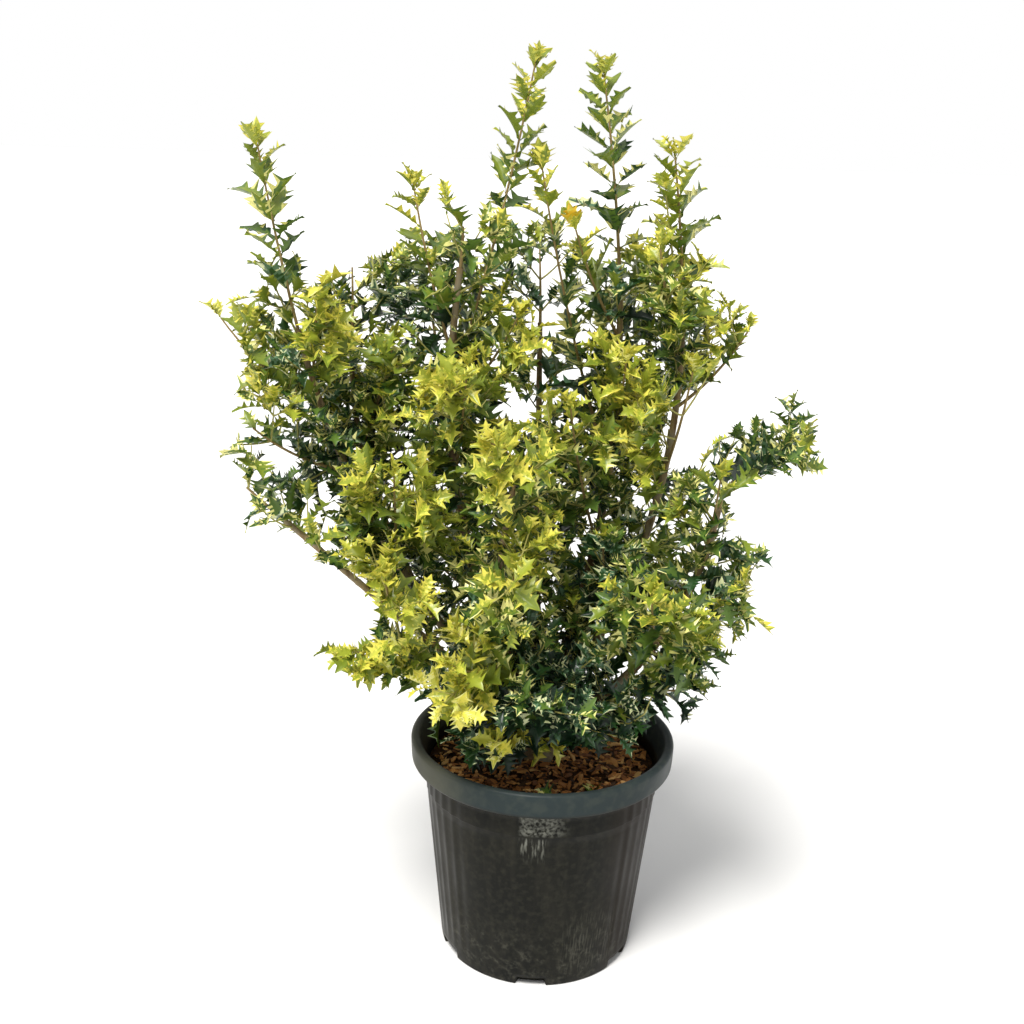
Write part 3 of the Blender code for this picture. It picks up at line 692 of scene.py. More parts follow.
# %% Grow a twig
TWIG_SPACING = 0.018
TWIG_LEAF_LENGTH = 0.047
TWIG_RISE = 0.18           # how far its tip bends up, in its own lengths
TWIG_SHRINK = 0.35         # how much shorter its last pair is
TWIG_CLOSING = 0.3         # how much closer to it that pair stands
TWIG_SWING = 0.25          # how far a pair is turned off the cross
TWIG_BRIGHTENING = 0.16
END_ANGLE = 0.15
END_SIZE = 0.6
END_BRIGHTENING = 0.22
FINE_LENGTH = 0.5          # of the twig that it leaves
SIDE_RADII = (0.0014, 0.0008)
FINE_RADII = (0.0010, 0.0006)


def grow_twig(foot, way, length, radii, tone, dice, depth):
    """The curves and leaves of a twig, and at depth 1 of the finer twigs on it."""
    bend = Vector((0.0, 0.0, TWIG_RISE * length))
    curve = (foot, foot + way * (0.5 * length), foot + way * length + bend)
    twigs, leaves = [(curve, radii)], []
    pairs = max(2, round(length / TWIG_SPACING))
    turn = dice.uniform(0.0, math.pi)
    for pair in range(1, pairs + 1):
        along = pair / pairs
        point = curve_point(curve, along)
        heading = curve_heading(curve, along)
        turn += math.pi / 2.0 + dice.uniform(-TWIG_SWING, TWIG_SWING)
        angle = LEAF_ANGLE * (LEAF_OPENING - TWIG_CLOSING * along)
        size = TWIG_LEAF_LENGTH * (1.0 - TWIG_SHRINK * along)
        bright = tone + TWIG_BRIGHTENING * along
        for half in (0.0, math.pi):
            leaves.append(leaf_at(point, heading, turn + half, angle, size, bright, dice))
            if depth and pair == 2 and pairs > 2:
                finer = turned_way(heading, turn + half, SIDE_TWIG_ANGLE)
                more = grow_twig(point, finer, FINE_LENGTH * length, FINE_RADII, tone, dice, 0)
                twigs += more[0]
                leaves += more[1]
    leaves.append(leaf_at(curve_point(curve, 1.0), curve_heading(curve, 1.0), turn, END_ANGLE,
                          END_SIZE * TWIG_LEAF_LENGTH, tone + END_BRIGHTENING, dice))
    return twigs, leaves


print("Twigs carry a leaf pair every", TWIG_SPACING * 1000.0, "mm")

# %% [markdown]
# ## Masses of foliage
# Each mass is one leading shoot. Its leaves shrink and brighten to the tip, which ends in a tuft of
# three. The slender shoots that stand out of the crown have larger leaves and no side twigs, and
# one of them ends in golden leaves.

# %% Grow the masses
PAIR_SPACING = 0.021
LEAF_LENGTH = 0.050
SHOOT_LEAF_LENGTH = 0.060
SLENDER_REACH = 0.054      # a mass of no more reach is a slender shoot
LAST_PAIR = 0.985          # its place along the stem
LAST_FORK = 0.85           # no side twigs past it
STEM_SHRINK = 0.42         # how much shorter the last pair is
STEM_CLOSING = 0.35        # how much closer to the stem it stands
STEM_SWING = 0.2           # how far a pair is turned off the cross
# leaves darker to a stem's foot: partly older leaves, partly painted shade inside the crown
FOOT_DARKENING = 0.16
TOP_BRIGHTENING = 0.20
TUFT_BRIGHTENING = 0.30
GOLDEN_TIP = 1.5
TUFT = ((0.0, 0.10, 0.62), (2.0, 0.35, 0.50), (4.0, 0.45, 0.50))   # turn, angle and size
FORK_SPREAD = (0.80, 1.05)
FORK_TAPER = (1.1, 0.5)    # a side twig's share of the reach at the foot, and its loss to the tip
FORK_TONES = 0.16
STEM_RADII = (0.0024, 0.0011)


def grow_mass(name):
    """All twigs and leaves of one mass, along its stem."""
    _, _, _, reach, tone = MASSES[name]
    curve = stems[name]
    dice = random.Random("%s %d" % (name, SEED))
    length = (curve[2] - curve[0]).length
    nodes = max(4, round(length * (1.0 - BARE_FOOT) / PAIR_SPACING))
    turn = dice.uniform(0.0, math.pi)
    twigs, leaves = [(curve, STEM_RADII)], []
    full_size = SHOOT_LEAF_LENGTH if reach <= SLENDER_REACH else LEAF_LENGTH
    for node in range(nodes + 1):
        along = node / nodes
        share = BARE_FOOT + (LAST_PAIR - BARE_FOOT) * along
        point = curve_point(curve, share)
        heading = curve_heading(curve, share)
        turn += math.pi / 2.0 + dice.uniform(-STEM_SWING, STEM_SWING)
        angle = LEAF_ANGLE * (LEAF_OPENING - STEM_CLOSING * along)
        size = full_size * (1.0 - STEM_SHRINK * along ** 2)
        bright = tone - FOOT_DARKENING * (1.0 - along) + TOP_BRIGHTENING * along ** 3
        forks = reach > SLENDER_REACH and node % 2 == 0 and along < LAST_FORK
        for half in (0.0, math.pi):
            leaves.append(leaf_at(point, heading, turn + half, angle, size, bright, dice))
            if forks:
                way = turned_way(heading, turn + half, SIDE_TWIG_ANGLE)
                taper = FORK_TAPER[0] - FORK_TAPER[1] * along
                twig_length = reach * dice.uniform(*FORK_SPREAD) * taper
                twig_tone = bright + dice.uniform(-FORK_TONES, FORK_TONES)
                more = grow_twig(point, way, twig_length, SIDE_RADII, twig_tone, dice, 1)
                twigs += more[0]
                leaves += more[1]
    tip_tone = GOLDEN_TIP if name == "golden_shoot" else tone + TUFT_BRIGHTENING
    for more_turn, angle, size in TUFT:
        leaves.append(leaf_at(curve_point(curve, 1.0), curve_heading(curve, 1.0),
                              turn + more_turn, angle, size * LEAF_LENGTH, tip_tone, dice))
    return twigs, leaves


grown = {name: grow_mass(name) for name in MASSES}
print("Grown by the rule:", sum(len(leaves) for _, leaves in grown.values()), "leaves on the masses")

# %% [markdown]
# ## Sprigs, sprays and a bent twig
# The limbs are leafy too: short sprigs in crossing pairs, with darker greens painted in for the
# crown's shade, fill what the masses leave open. A few single sprays reach past the masses, where
# the photograph shows twigs over the rim and at the crown's sides. One bare twig hangs out over the
# right of the soil and turns up.

# %% Grow on the limbs
SPRIG_LENGTH = 0.062
SPRIG_SPACING = 0.030
SPRIG_SPREAD = (0.6, 1.1)
SPRIG_SWING = 0.3
SPRIGS_FROM = 0.12         # where along a limb its own sprigs begin
# a low tone: darker green leaves, painted shade for the sprigs inside the crown
SPRIG_TONE = 0.40
SPRIG_TONES = 0.14
SPRAY_RADII = (0.0020, 0.0009)
# each spray's limb, the place along it, tip and tone
SPRAYS = (
    ("right_low_bough", 0.48, (0.210, -0.080, 0.443), 0.30),
    ("right_low_bough", 0.66, (0.270, -0.090, 0.503), 0.50),
    ("left_low_bough", 0.14, (-0.188, -0.140, 0.423), 0.30),
    ("right_stem", 0.97, (0.120, -0.020, 1.003), 0.72),
    ("front_stem", 0.22, (-0.001, -0.130, 0.475), 0.28),
    ("front_stem", 0.12, (0.060, -0.110, 0.440), 0.22),
    ("right_low_bough", 0.22, (0.095, -0.110, 0.400), 0.20),
    ("left_stem", 0.98, (-0.352, -0.030, 0.905), 0.60),
    ("front_stem", 0.20, (-0.045, -0.170, 0.392), 0.12),
    ("right_low_bough", 0.14, (0.040, -0.150, 0.360), 0.10),
    ("front_stem", 0.08, (-0.060, -0.140, 0.335), 0.90),
)
# the bent twig's limb, the place along it, bend and tip
BENT_TWIG = ("right_low_bough", 0.18, (0.122, -0.125, 0.352), (0.136, -0.090, 0.410))


def grow_sprigs(name):
    """Short leafy twigs in crossing pairs along a limb."""
    curve = limbs[name]
    dice = random.Random("sprigs of %s %d" % (name, SEED))
    count = round((curve[2] - curve[0]).length * (1.0 - SPRIGS_FROM) / SPRIG_SPACING)
    turn = dice.uniform(0.0, math.pi)
    twigs, leaves = [], []
    for sprig in range(count + 1):
        share = SPRIGS_FROM + (1.0 - SPRIGS_FROM) * sprig / (count + 1)
        heading = curve_heading(curve, share)
        turn += math.pi / 2.0 + dice.uniform(-SPRIG_SWING, SPRIG_SWING)
        for half in (0.0, math.pi):
            angle = SIDE_TWIG_ANGLE + dice.uniform(-ANGLE_SPREAD, ANGLE_SPREAD)
            way = turned_way(heading, turn + half, angle)
            length = SPRIG_LENGTH * dice.uniform(*SPRIG_SPREAD)
            tone = SPRIG_TONE + dice.uniform(-SPRIG_TONES, SPRIG_TONES)
            more = grow_twig(curve_point(curve, share), way, length, SIDE_RADII, tone, dice, 0)
            twigs += more[0]
            leaves += more[1]
    return twigs, leaves


def grow_spray(carrier, share, tip, tone):
    """A long leafy twig from a limb to a tip of its own."""
    dice = random.Random("spray %s %.2f" % (carrier, share))
    root = curve_point(limbs[carrier], share)
    span = Vector(tip) - root
    return grow_twig(root, span.normalized(), span.length, SPRAY_RADII, tone, dice, 1)


def bent_twig(carrier, share, bend, tip):
    """The bare twig's curve and radii."""
    return (curve_point(limbs[carrier], share), Vector(bend), Vector(tip)), SIDE_RADII


sprigs = {name: grow_sprigs(name) for name in LIMBS}
sprigs[BENT_TWIG[0]][0].append(bent_twig(*BENT_TWIG))
for carrier, share, tip, tone in SPRAYS:
    more = grow_spray(carrier, share, tip, tone)
    sprigs[carrier] = (sprigs[carrier][0] + more[0], sprigs[carrier][1] + more[1])
print("On the limbs:", sum(len(leaves) for _, leaves in sprigs.values()), "leaves")

# %% [markdown]
# ## Keeping clear of limbs and pot
# A leaf or twig that would run through a limb or the pot's wall is left out. Distances from many
# points to short straight pieces of the limbs settle the one for all leaves at once, and a few
# heights and radii settle the other.

# %% Clear of limbs and pot
LIMB_STEPS = 12
LIMB_CLEARANCE = 0.0015
POT_OUTER = 0.183
POT_TOP = 0.313
SOIL_CLEAR = (0.150, 0.276)    # over the soil: radius and least height


def axis_pieces(curve, first, count):
    """Starts and spans of straight pieces along a curve."""
    marks = [first + (1.0 - first) * step / count for step in range(count + 1)]
    points = np.array([curve_point(curve, mark) for mark in marks])
    return points[:-1], points[1:] - points[:-1]


def distances(points, starts, spans):
    """Distance of every point from every straight piece."""
    offset = points[:, None, :] - starts[None]
    share = np.clip((offset * spans).sum(-1) / (spans ** 2).sum(-1), 0.0, 1.0)
    return np.linalg.norm(offset - share[..., None] * spans, axis=-1)


def limb_radius(name, share):
    """Radius of a limb at a share of its length."""
    foot, tip = (TRUNK_RADIUS, FORK_RADIUS) if name == "trunk" else LIMBS[name][4:]
    return foot + (tip - foot) * share


def clear_of_limbs(points):
    """Whether each point is outside every limb."""
    clear = np.ones(len(points), bool)
    middles = (np.arange(LIMB_STEPS) + 0.5) / LIMB_STEPS
    for name, curve in limbs.items():
        apart = distances(points, *axis_pieces(curve, 0.0, LIMB_STEPS))
        clear &= (apart > limb_radius(name, middles) + LIMB_CLEARANCE).all(axis=1)
    return clear


def clear_of_pot(points):
    """Whether each point is above the soil, over the rim or outside the pot."""
    radius = np.hypot(points[:, 0], points[:, 1])
    height = points[:, 2]
    over_soil = (radius < SOIL_CLEAR[0]) & (height > SOIL_CLEAR[1])
    return over_soil | (radius > POT_OUTER) | (height > POT_TOP)


print("Each limb is tested in", LIMB_STEPS, "straight pieces")

# %% [markdown]
# ## Keeping each mass to its space
# A mass owns all that lies nearer to its own stem than to any other, as in the source, and fine
# leaves may mix with a neighbour's by a small slack. Nothing reaches past the CAD model's box by
# more than a few millimetres.

# %% Spaces and box
AXIS_STEPS = 4
SPACE_SLACK = 0.012        # how far fine leaves may mix with a neighbour mass
BOX_SLACK = 0.006
SPACE_PARTS = {name: axis_pieces(curve, BARE_FOOT, AXIS_STEPS) for name, curve in stems.items()}


def in_space(name, points):
    """Whether each point lies in the mass's space, with a little slack."""
    others = [SPACE_PARTS[other] for other in SPACE_PARTS if other != name]
    starts = np.concatenate([part[0] for part in others])
    spans = np.concatenate([part[1] for part in others])
    own = distances(points, *SPACE_PARTS[name]).min(axis=1)
    return own < distances(points, starts, spans).min(axis=1) + SPACE_SLACK


def in_box(points):
    """Whether each point lies in the CAD model's box."""
    low = np.array(cad_low) - BOX_SLACK
    high = np.array(cad_high) + BOX_SLACK
    return ((points > low) & (points < high)).all(axis=1)


print("Spaces of", len(SPACE_PARTS), "masses are laid out")

# %% [markdown]
# ## Gaps of sky
# Sky shows between the tall shoots and through the crown, and those gaps give the plant its
# outline. They were judged in the photograph and are kept here as ellipses in the camera's
# picture. A leaf whose root, middle or tip the camera would see in one is left out.

# %% Sky gaps and fit
PICTURE_MIDDLE = 512.0
TESTED_AT = (0.55, 1.0)    # places along a leaf
# each gap's middle across and down, half width and half height, in the photograph's pixels
SKY_GAPS = (
    (346, 233, 40, 34), (378, 236, 22, 18), (436, 205, 9, 28), (523, 215, 11, 14), (545, 275, 18, 9),
    (550, 318, 20, 8), (533, 373, 12, 7), (588, 222, 8, 14), (738, 392, 26, 28), (706, 412, 36, 22),
    (684, 444, 24, 26), (750, 282, 20, 22), (786, 322, 22, 14), (776, 361, 30, 22), (840, 445, 20, 18),
    (814, 486, 24, 14), (756, 514, 26, 34), (774, 592, 28, 28), (203, 502, 44, 42), (222, 425, 28, 20),
    (210, 352, 34, 36), (277, 462, 15, 12), (260, 566, 62, 36), (318, 592, 44, 26), (348, 616, 30, 32),
    (318, 630, 16, 18), (560, 335, 7, 7), (640, 500, 7, 6), (575, 545, 9, 6), (330, 505, 7, 7),
    (472, 208, 14, 24), (313, 262, 13, 26), (770, 333, 20, 26), (784, 484, 28, 12), (412, 712, 24, 16),
    (512, 412, 24, 8), (720, 240, 12, 16), (232, 275, 22, 18), (322, 250, 10, 20), (690, 455, 16, 14),
    (585, 560, 7, 5), (592, 520, 6, 6), (560, 480, 6, 5), (408, 575, 6, 6), (400, 625, 7, 8),
)


def in_sky(points):
    """Whether the camera sees each point in front of sky that the photograph shows."""
    local = (points - np.array(CAMERA_PLACE)) @ np.array(camera_turn.to_3x3())
    scale = CAMERA_LENS / camera.data.sensor_width * 2.0 * PICTURE_MIDDLE / -local[:, 2]
    across = PICTURE_MIDDLE + local[:, 0] * scale
    down = PICTURE_MIDDLE - local[:, 1] * scale
    found = np.zeros(len(points), bool)
    for x, y, half_width, half_height in SKY_GAPS:
        found |= ((across - x) / half_width) ** 2 + ((down - y) / half_height) ** 2 < 1.0
    return found


def stays(name, points):
    """Whether each point is clear of limbs, pot and sky, and in the box and the mass's space."""
    clear = clear_of_limbs(points) & clear_of_pot(points) & in_box(points) & ~in_sky(points)
    if name in SPACE_PARTS:
        clear &= in_space(name, points)
    return clear


def fitting(name, leaves, size):
    """Whether each leaf fits at this share of its length."""
    fits = ~in_sky(np.array([leaf[0] for leaf in leaves]))
    for reach in TESTED_AT:
        fits &= stays(name, np.array([
            root + heading * (length * size * reach) for root, heading, _, length, _ in leaves]))
    return fits


print(len(SKY_GAPS), "gaps of sky stay open")

# %% [markdown]
# ## The leaves of each mass
# Each leaf takes one pattern and the dress of its tone. How much cream it shows is drawn too: the
# faces whose score passes one limit take the margin's colour, and those past a lower one the
# marbling. Leaves that don't fit are tried once more at two thirds of their size, and each mass's
# leaves become one piece.

# %% Dress and join the leaves
SMALLER = 0.68
CREAM_LIMITS = (0.50, 0.88)
CREAM_BY_TONE = 0.12       # how much lower the limit is on a brighter leaf
MIDDLE_TONE = 0.55
MARBLED_STEPS = (0.08, 0.26)


def dress_of(tone):
    """The three places in the leaf materials for a tone."""
    chosen = DRESSES[0]
    for dress in DRESSES:
        if tone >= dress[0]:
            chosen = dress
    return [LEAF_PLACES[colour] for colour in chosen[1:]]


def add_leaf(pile, leaf, size, dice):
    """Place one pattern as a leaf and colour its faces."""
    root, heading, upper, length, tone = leaf
    heading = heading.normalized()
    across = upper.cross(heading).normalized()
    upper = heading.cross(across)
    corners, faces, scores = dice.choice(LEAF_PATTERNS)
    axes = np.array([heading, across, upper]) * (length * size)
    cream_from = dice.uniform(*CREAM_LIMITS) - CREAM_BY_TONE * (tone - MIDDLE_TONE)
    marbled_from = cream_from - dice.uniform(*MARBLED_STEPS)
    blade, marbling, margin = dress_of(tone)
    finishes = np.where(scores > marbled_from, marbling, blade)
    finishes = np.where(scores > cream_from, margin, finishes)
    pile.add(corners @ axes + np.array(root), faces, finishes)


def make_leaves(name, leaves, stands_for):
    """All fitting leaves of a mass or of a limb's sprigs as one piece."""
    dice = random.Random("leaves of %s %d" % (name, SEED))
    full, small = fitting(name, leaves, 1.0), fitting(name, leaves, SMALLER)
    pile = Pile()
    kept = 0
    for leaf, fits, fits_small in zip(leaves, full, small):
        if fits or fits_small:
            add_leaf(pile, leaf, 1.0 if fits else SMALLER, dice)
            kept += 1
    make_piece(name + "_leaves", pile, LEAF_MATERIALS, stands_for)
    return kept


kept_leaves = sum(make_leaves(name, grown[name][1], [name]) for name in MASSES)
kept_leaves += sum(make_leaves(name, sprigs[name][1], []) for name in LIMBS)
leaf_pieces = [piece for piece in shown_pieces() if piece.name.endswith("_leaves")]
triangles = sum(2 * len(piece.data.polygons) for piece in leaf_pieces)
print("Leaves that fit:", kept_leaves, "with", triangles, "triangles")

# %% [markdown]
# ## Twigs as tubes
# Young shoots are pale green-tan and smooth, and the stems of the masses are tan bark. Tubes of six
# sides follow each twig's curve. A twig whose outer part would be in a limb, the pot, a neighbour's
# space or a gap of sky carries nothing and goes, and a stem ends where the sky begins.

# %% Twig finishes and meshes
TUBE_SIDES = 6
STEM_STEPS = 10
TWIG_STEPS = 4
LEAST_POINTS = 4           # of a stem that ends early
TUBE_SEAM = Vector((0.31, 0.95, 0.05))     # no stem runs this way
TWIG_TESTED_AT = 0.85      # place along a twig


def tube_shape(points, radii, sides):
    """Corners and faces of an open-ended tube through the points."""
    points = [Vector(point) for point in points]
    heading = (points[1] - points[0]).normalized()
    across = heading.cross(TUBE_SEAM).normalized()
    corners = []
    for index, point in enumerate(points):
        before = points[max(index - 1, 0)]
        after = points[min(index + 1, len(points) - 1)]
        heading = (after - before).normalized()
        across = (across - heading * across.dot(heading)).normalized()
        aside = heading.cross(across)
        for side in range(sides):
            angle = 2.0 * math.pi * side / sides
            offset = across * math.cos(angle) + aside * math.sin(angle)
            corners.append(point + offset * radii[index])
    return corners, ring_faces(len(points) - 1, sides)


def make_twig_materials():
    """Tan bark for the stems and a paler green-tan for fine twigs."""
    made = []
    for name, code in (("twig_bark", "8f7a4e"), ("young_shoot", "a5a05a")):
        material = new_material(name, code, 0.6, 0.3)
        skin = place_group(material, MOTTLE, Scale=160.0, Detail=3.0, Low=0.35, High=0.65)
        link_roughness(material, skin.outputs["Mask"], 0.5, 0.75)
        link_bump(material, skin.outputs["Height"], 0.4, 0.001)
        made.append(material)
    return made


TWIG_MATERIALS = make_twig_materials()


def make_twigs(name, twigs, stands_for):
    """The stem and twigs of a mass, or the sprigs of a limb, as one piece."""
    pile = Pile()
    fits = stays(name, np.array([curve_point(curve, TWIG_TESTED_AT) for curve, _ in twigs]))
    if name in MASSES:
        fits[0] = True
    for (curve, (foot, tip)), fit in zip(twigs, fits):
        if not fit:
            continue
        is_stem = foot == STEM_RADII[0]
        steps = STEM_STEPS if is_stem else TWIG_STEPS
        points = [curve_point(curve, step / steps) for step in range(steps + 1)]
        while len(points) > LEAST_POINTS and in_sky(np.array(points[-1:])).all():
            points.pop()
        radii = [foot + (tip - foot) * step / steps for step in range(steps + 1)]
        corners, faces = tube_shape(points, radii, TUBE_SIDES)
        pile.add(corners, faces, [0 if is_stem else 1] * len(faces))
    make_piece(name + "_twigs", pile, TWIG_MATERIALS, stands_for)
    return int(fits.sum())


kept_twigs = sum(make_twigs(name, grown[name][0], [name]) for name in MASSES)
kept_twigs += sum(make_twigs(name, sprigs[name][0], []) for name in LIMBS)
print("Twigs that fit:", kept_twigs)

# %% [markdown]
# ## Bark
# The limbs' bark is grey-tan with fine ridges along the limb, small warts and a swelling at each old
# leaf pair. That relief is built into the mesh, ring by ring, so that it also shows in the exported
# shape. Only the grain finer than a ring is left to the material's bump.

# %% Limbs with relief
LIMB_RING = 0.0035
LIMB_SIDES = 16
NODE_EVERY = 0.024
NODE_SWELL = 0.12
NODE_SHARPNESS = 12
RIDGES = 0.09
RIDGE_COUNT = 2.6          # how many there are round the limb, more or less
RIDGE_CHANGE = 22.0        # how fast they change along it
WARTS = 0.07
WART_FINENESS = 230.0
FLARE = 0.0105
FLARE_HEIGHT = 0.009
FLARE_LOBES = 5.0
FLARE_LOBE_DEPTH = 0.35
FLARE_TURN = 0.7


def make_bark():
    """Grey-tan bark, darker in streaks."""
    bark = new_material("bark", "8c7450", 0.8, 0.2)
    streaks = place_group(bark, STREAKS, Scale=150.0, Detail=5.0, Low=0.38, High=0.62)
    mottle = place_group(bark, MOTTLE, Scale=45.0, Detail=4.0, Low=0.42, High=0.66)
    tan = mix_colours(bark, streaks.outputs["Mask"], "6d573a", "a08a62")
    full = mix_colours(bark, mottle.outputs["Mask"], tan, "8f8670")
    tree = bark.node_tree
    tree.links.new(full, tree.nodes["Principled BSDF"].inputs["Base Color"])
    link_roughness(bark, mottle.outputs["Mask"], 0.7, 0.9)
    link_bump(bark, streaks.outputs["Height"], 0.6, 0.0015)
    return bark


BARK = make_bark()


def limb_relief(name, share, travelled, angle, point):
    """Radius there, with ridges, warts, leaf-scar swellings and the trunk's root flare."""
    radius = limb_radius(name, share)
    place = Vector((math.cos(angle), math.sin(angle), 0.0))
    ridge = noise.noise(place * RIDGE_COUNT + Vector((0.0, 0.0, travelled * RIDGE_CHANGE)))
    wart = noise.noise(point * WART_FINENESS)
    swell = max(0.0, math.cos(2.0 * math.pi * travelled / NODE_EVERY)) ** NODE_SHARPNESS
    radius *= 1.0 + RIDGES * ridge + WARTS * wart + NODE_SWELL * swell
    if name == "trunk":
        lobes = 1.0 + FLARE_LOBE_DEPTH * math.cos(FLARE_LOBES * angle + FLARE_TURN)
        radius += FLARE * lobes * math.exp(-travelled / FLARE_HEIGHT)
    return radius


def make_limb(name):
    """One limb as a tube whose every corner has its own radius."""
    curve = limbs[name]
    sides = 2 * LIMB_SIDES if name == "trunk" else LIMB_SIDES
    length = (curve[2] - curve[0]).length
    ring = LIMB_RING / 2.0 if name == "trunk" else LIMB_RING
    rings = max(8, round(length / ring))
    points = [curve_point(curve, step / rings) for step in range(rings + 1)]
    corners, faces = tube_shape(points, [1.0] * len(points), sides)
    shaped = []
    for index, corner in enumerate(corners):
        step, side = divmod(index, sides)
        centre = points[step]
        angle = 2.0 * math.pi * side / sides
        share = step / rings
        radius = limb_relief(name, share, share * length, angle, corner.lerp(centre, 0.99))
        shaped.append(centre + (corner - centre) * radius)
    if name == "trunk":
        for corner in shaped[:sides]:
            corner.z = FOOT_AT.z
    pile = Pile()
    pile.add(shaped, faces, [0] * len(faces))
    make_piece(name + "_bark", pile, [BARK], [name])
    return len(faces)


print("Bark faces:", sum(make_limb(name) for name in limbs))

# %% [markdown]
# ## The pot
# A blow-moulded nursery pot in black plastic: a broad rolled rim, a plain band to a fine step, and a
# wall that tapers to its foot. The real one is blown into a round mould, so one profile that is
# turned about the middle gives its shape.

# %% Pot profile
POT_HEIGHT = 0.307
RIM_RADIUS = 0.178
RIM_FOOT = 0.280
RIM_INNER = 0.1655
BAND_RADIUS = 0.1575
BAND_FOOT = 0.235
BAND_STEP = 0.0012
FOOT_RADIUS = 0.132
FLOOR_TOP = 0.016
WALL = 0.0026
WALL_BEND = 0.266
FOOT_ROUND = 0.003
NOTCH_HEIGHT = 0.012
BODY_ROWS = 18
BODY_FROM = 0.018


def arc(middle, radius, first, last, steps):
    """Points of a round stretch of the profile, from one angle to another in degrees."""
    points = []
    for step in range(steps + 1):
        mark = math.radians(first + (last - first) * step / steps)
        points.append((middle[0] + radius * math.cos(mark), middle[1] + radius * math.sin(mark)))
    return points


def body_radius(height):
    """Radius of the tapering body below the band."""
    return FOOT_RADIUS + (BAND_RADIUS - BAND_STEP - FOOT_RADIUS) * height / BAND_FOOT


def pot_profile():
    """Outline from the underside's middle, up the outside, over the rim and down to the floor."""
    outline = [(0.0, 0.0), (0.06, 0.0), (FOOT_RADIUS - 0.014, 0.0)]
    outline += arc((FOOT_RADIUS - FOOT_ROUND, FOOT_ROUND), FOOT_ROUND, -90.0, 0.0, 4)
    heights = [0.0085, NOTCH_HEIGHT - 0.0004, NOTCH_HEIGHT + 0.0006]
    for row in range(BODY_ROWS + 1):
        heights.append(BODY_FROM + (BAND_FOOT - BODY_FROM) * row / BODY_ROWS)
    outline += [(body_radius(height), height) for height in heights]
    outline += [(BAND_RADIUS - 0.0002, BAND_FOOT + 0.0006), (BAND_RADIUS, BAND_FOOT + 0.002)]
    for row in range(1, 5):
        outline.append((BAND_RADIUS + 0.0010 * row / 4.0, BAND_FOOT + 0.030 * row / 4.0))
    outline += arc((RIM_RADIUS - 0.0075, RIM_FOOT - 0.001), 0.0065, -110.0, 0.0, 6)[1:]
    outline += [(RIM_RADIUS - 0.0006, RIM_FOOT + 0.006), (RIM_RADIUS - 0.0002, POT_HEIGHT - 0.012)]
    outline += arc((RIM_RADIUS - 0.0060, POT_HEIGHT - 0.0060), 0.0060, 5.0, 95.0, 6)
    outline += [(RIM_INNER + 0.002, POT_HEIGHT - 0.0014), (RIM_INNER, POT_HEIGHT - 0.0040)]
    outline += [(BAND_RADIUS - WALL + 0.003, WALL_BEND + 0.012), (BAND_RADIUS - WALL, WALL_BEND)]
    outline += [(body_radius(FLOOR_TOP) - WALL, FLOOR_TOP), (0.0, FLOOR_TOP)]
    return outline


print("Points in the pot's profile:", len(pot_profile()))

# %% [markdown]
# ## Flutes and drain notches
# Close flutes stiffen the wall at both sides, between a smooth panel at the front and one at the
# back, and six drain notches stand in the foot. Cutting them one by one would be slow. Instead each
# corner of the turned pot is drawn in where a flute or a notch is.

# %% Turn the pot
POT_SIDES = 360
FLUTE_MIDDLE = math.radians(63.0)    # from the front and from the back, to either side
FLUTE_HALF = math.radians(22.0)
FLUTE_SPACING = math.radians(7.4)
FLUTE_DEPTH = 0.0011
FLUTES_FROM = 0.022
FLUTES_TO = RIM_FOOT - 0.012
FLUTE_SOFT_ENDS = (0.012, 0.006)     # at the foot and at the rim
FLUTE_FADE = math.radians(6.0)
FLUTE_BESIDE_PANEL = 0.35            # share of the depth there
FLUTE_SHARPNESS = 0.6
NOTCH_TURN = math.radians(-93.0)
NOTCH_COUNT = 6
NOTCH_HALF = math.radians(8.5)
NOTCH_DEPTH = 0.010


def flute_share(angle):
    """How deep the flutes cut at an angle round the pot, from 0 to 1."""
    off_front = abs((angle + math.pi / 2.0 + math.pi) % (2.0 * math.pi) - math.pi)
    off_panel = min(off_front, math.pi - off_front)
    off_flutes = abs(off_panel - FLUTE_MIDDLE)
    if off_flutes > FLUTE_HALF:
        return 0.0
    travelled = off_panel - FLUTE_MIDDLE + FLUTE_HALF
    wave = 0.5 - 0.5 * math.cos(2.0 * math.pi * travelled / FLUTE_SPACING)
    fade = min(1.0, (FLUTE_HALF - off_flutes) / FLUTE_FADE + FLUTE_BESIDE_PANEL)
    return wave ** FLUTE_SHARPNESS * fade


def notch_share(angle):
    """1 within a drain notch, 0 outside."""
    step = 2.0 * math.pi / NOTCH_COUNT
    off = abs((angle - NOTCH_TURN + step / 2.0) % step - step / 2.0)
    return 1.0 if off < NOTCH_HALF else 0.0


def pot_radius(radius, height, angle, outer):
    """The profile's radius there, drawn in by a flute or a notch."""
    if not outer or radius < FOOT_RADIUS - 0.02:
        return radius
    if FLUTES_FROM < height < FLUTES_TO and radius < RIM_RADIUS - 0.012:
        low_end = (height - FLUTES_FROM) / FLUTE_SOFT_ENDS[0]
        high_end = (FLUTES_TO - height) / FLUTE_SOFT_ENDS[1]
        radius -= FLUTE_DEPTH * flute_share(angle) * max(0.0, min(1.0, low_end, high_end))
    if height < NOTCH_HEIGHT:
        radius -= NOTCH_DEPTH * notch_share(angle)
    return radius


def make_pot_pile():
    """The turned pot, corner by corner."""
    outline = pot_profile()
    crest = max(range(len(outline)), key=lambda mark: outline[mark][1])
    corners = []
    for mark, (radius, height) in enumerate(outline):
        for side in range(POT_SIDES):
            angle = 2.0 * math.pi * side / POT_SIDES
            drawn = pot_radius(radius, height, angle, mark < crest)
            corners.append((drawn * math.cos(angle), drawn * math.sin(angle), height))
    faces = ring_faces(len(outline) - 1, POT_SIDES)
    pile = Pile()
    pile.add(corners, faces, [0] * len(faces))
    return pile


pot_pile = make_pot_pile()
print("Pot faces:", len(pot_pile.faces[0]))

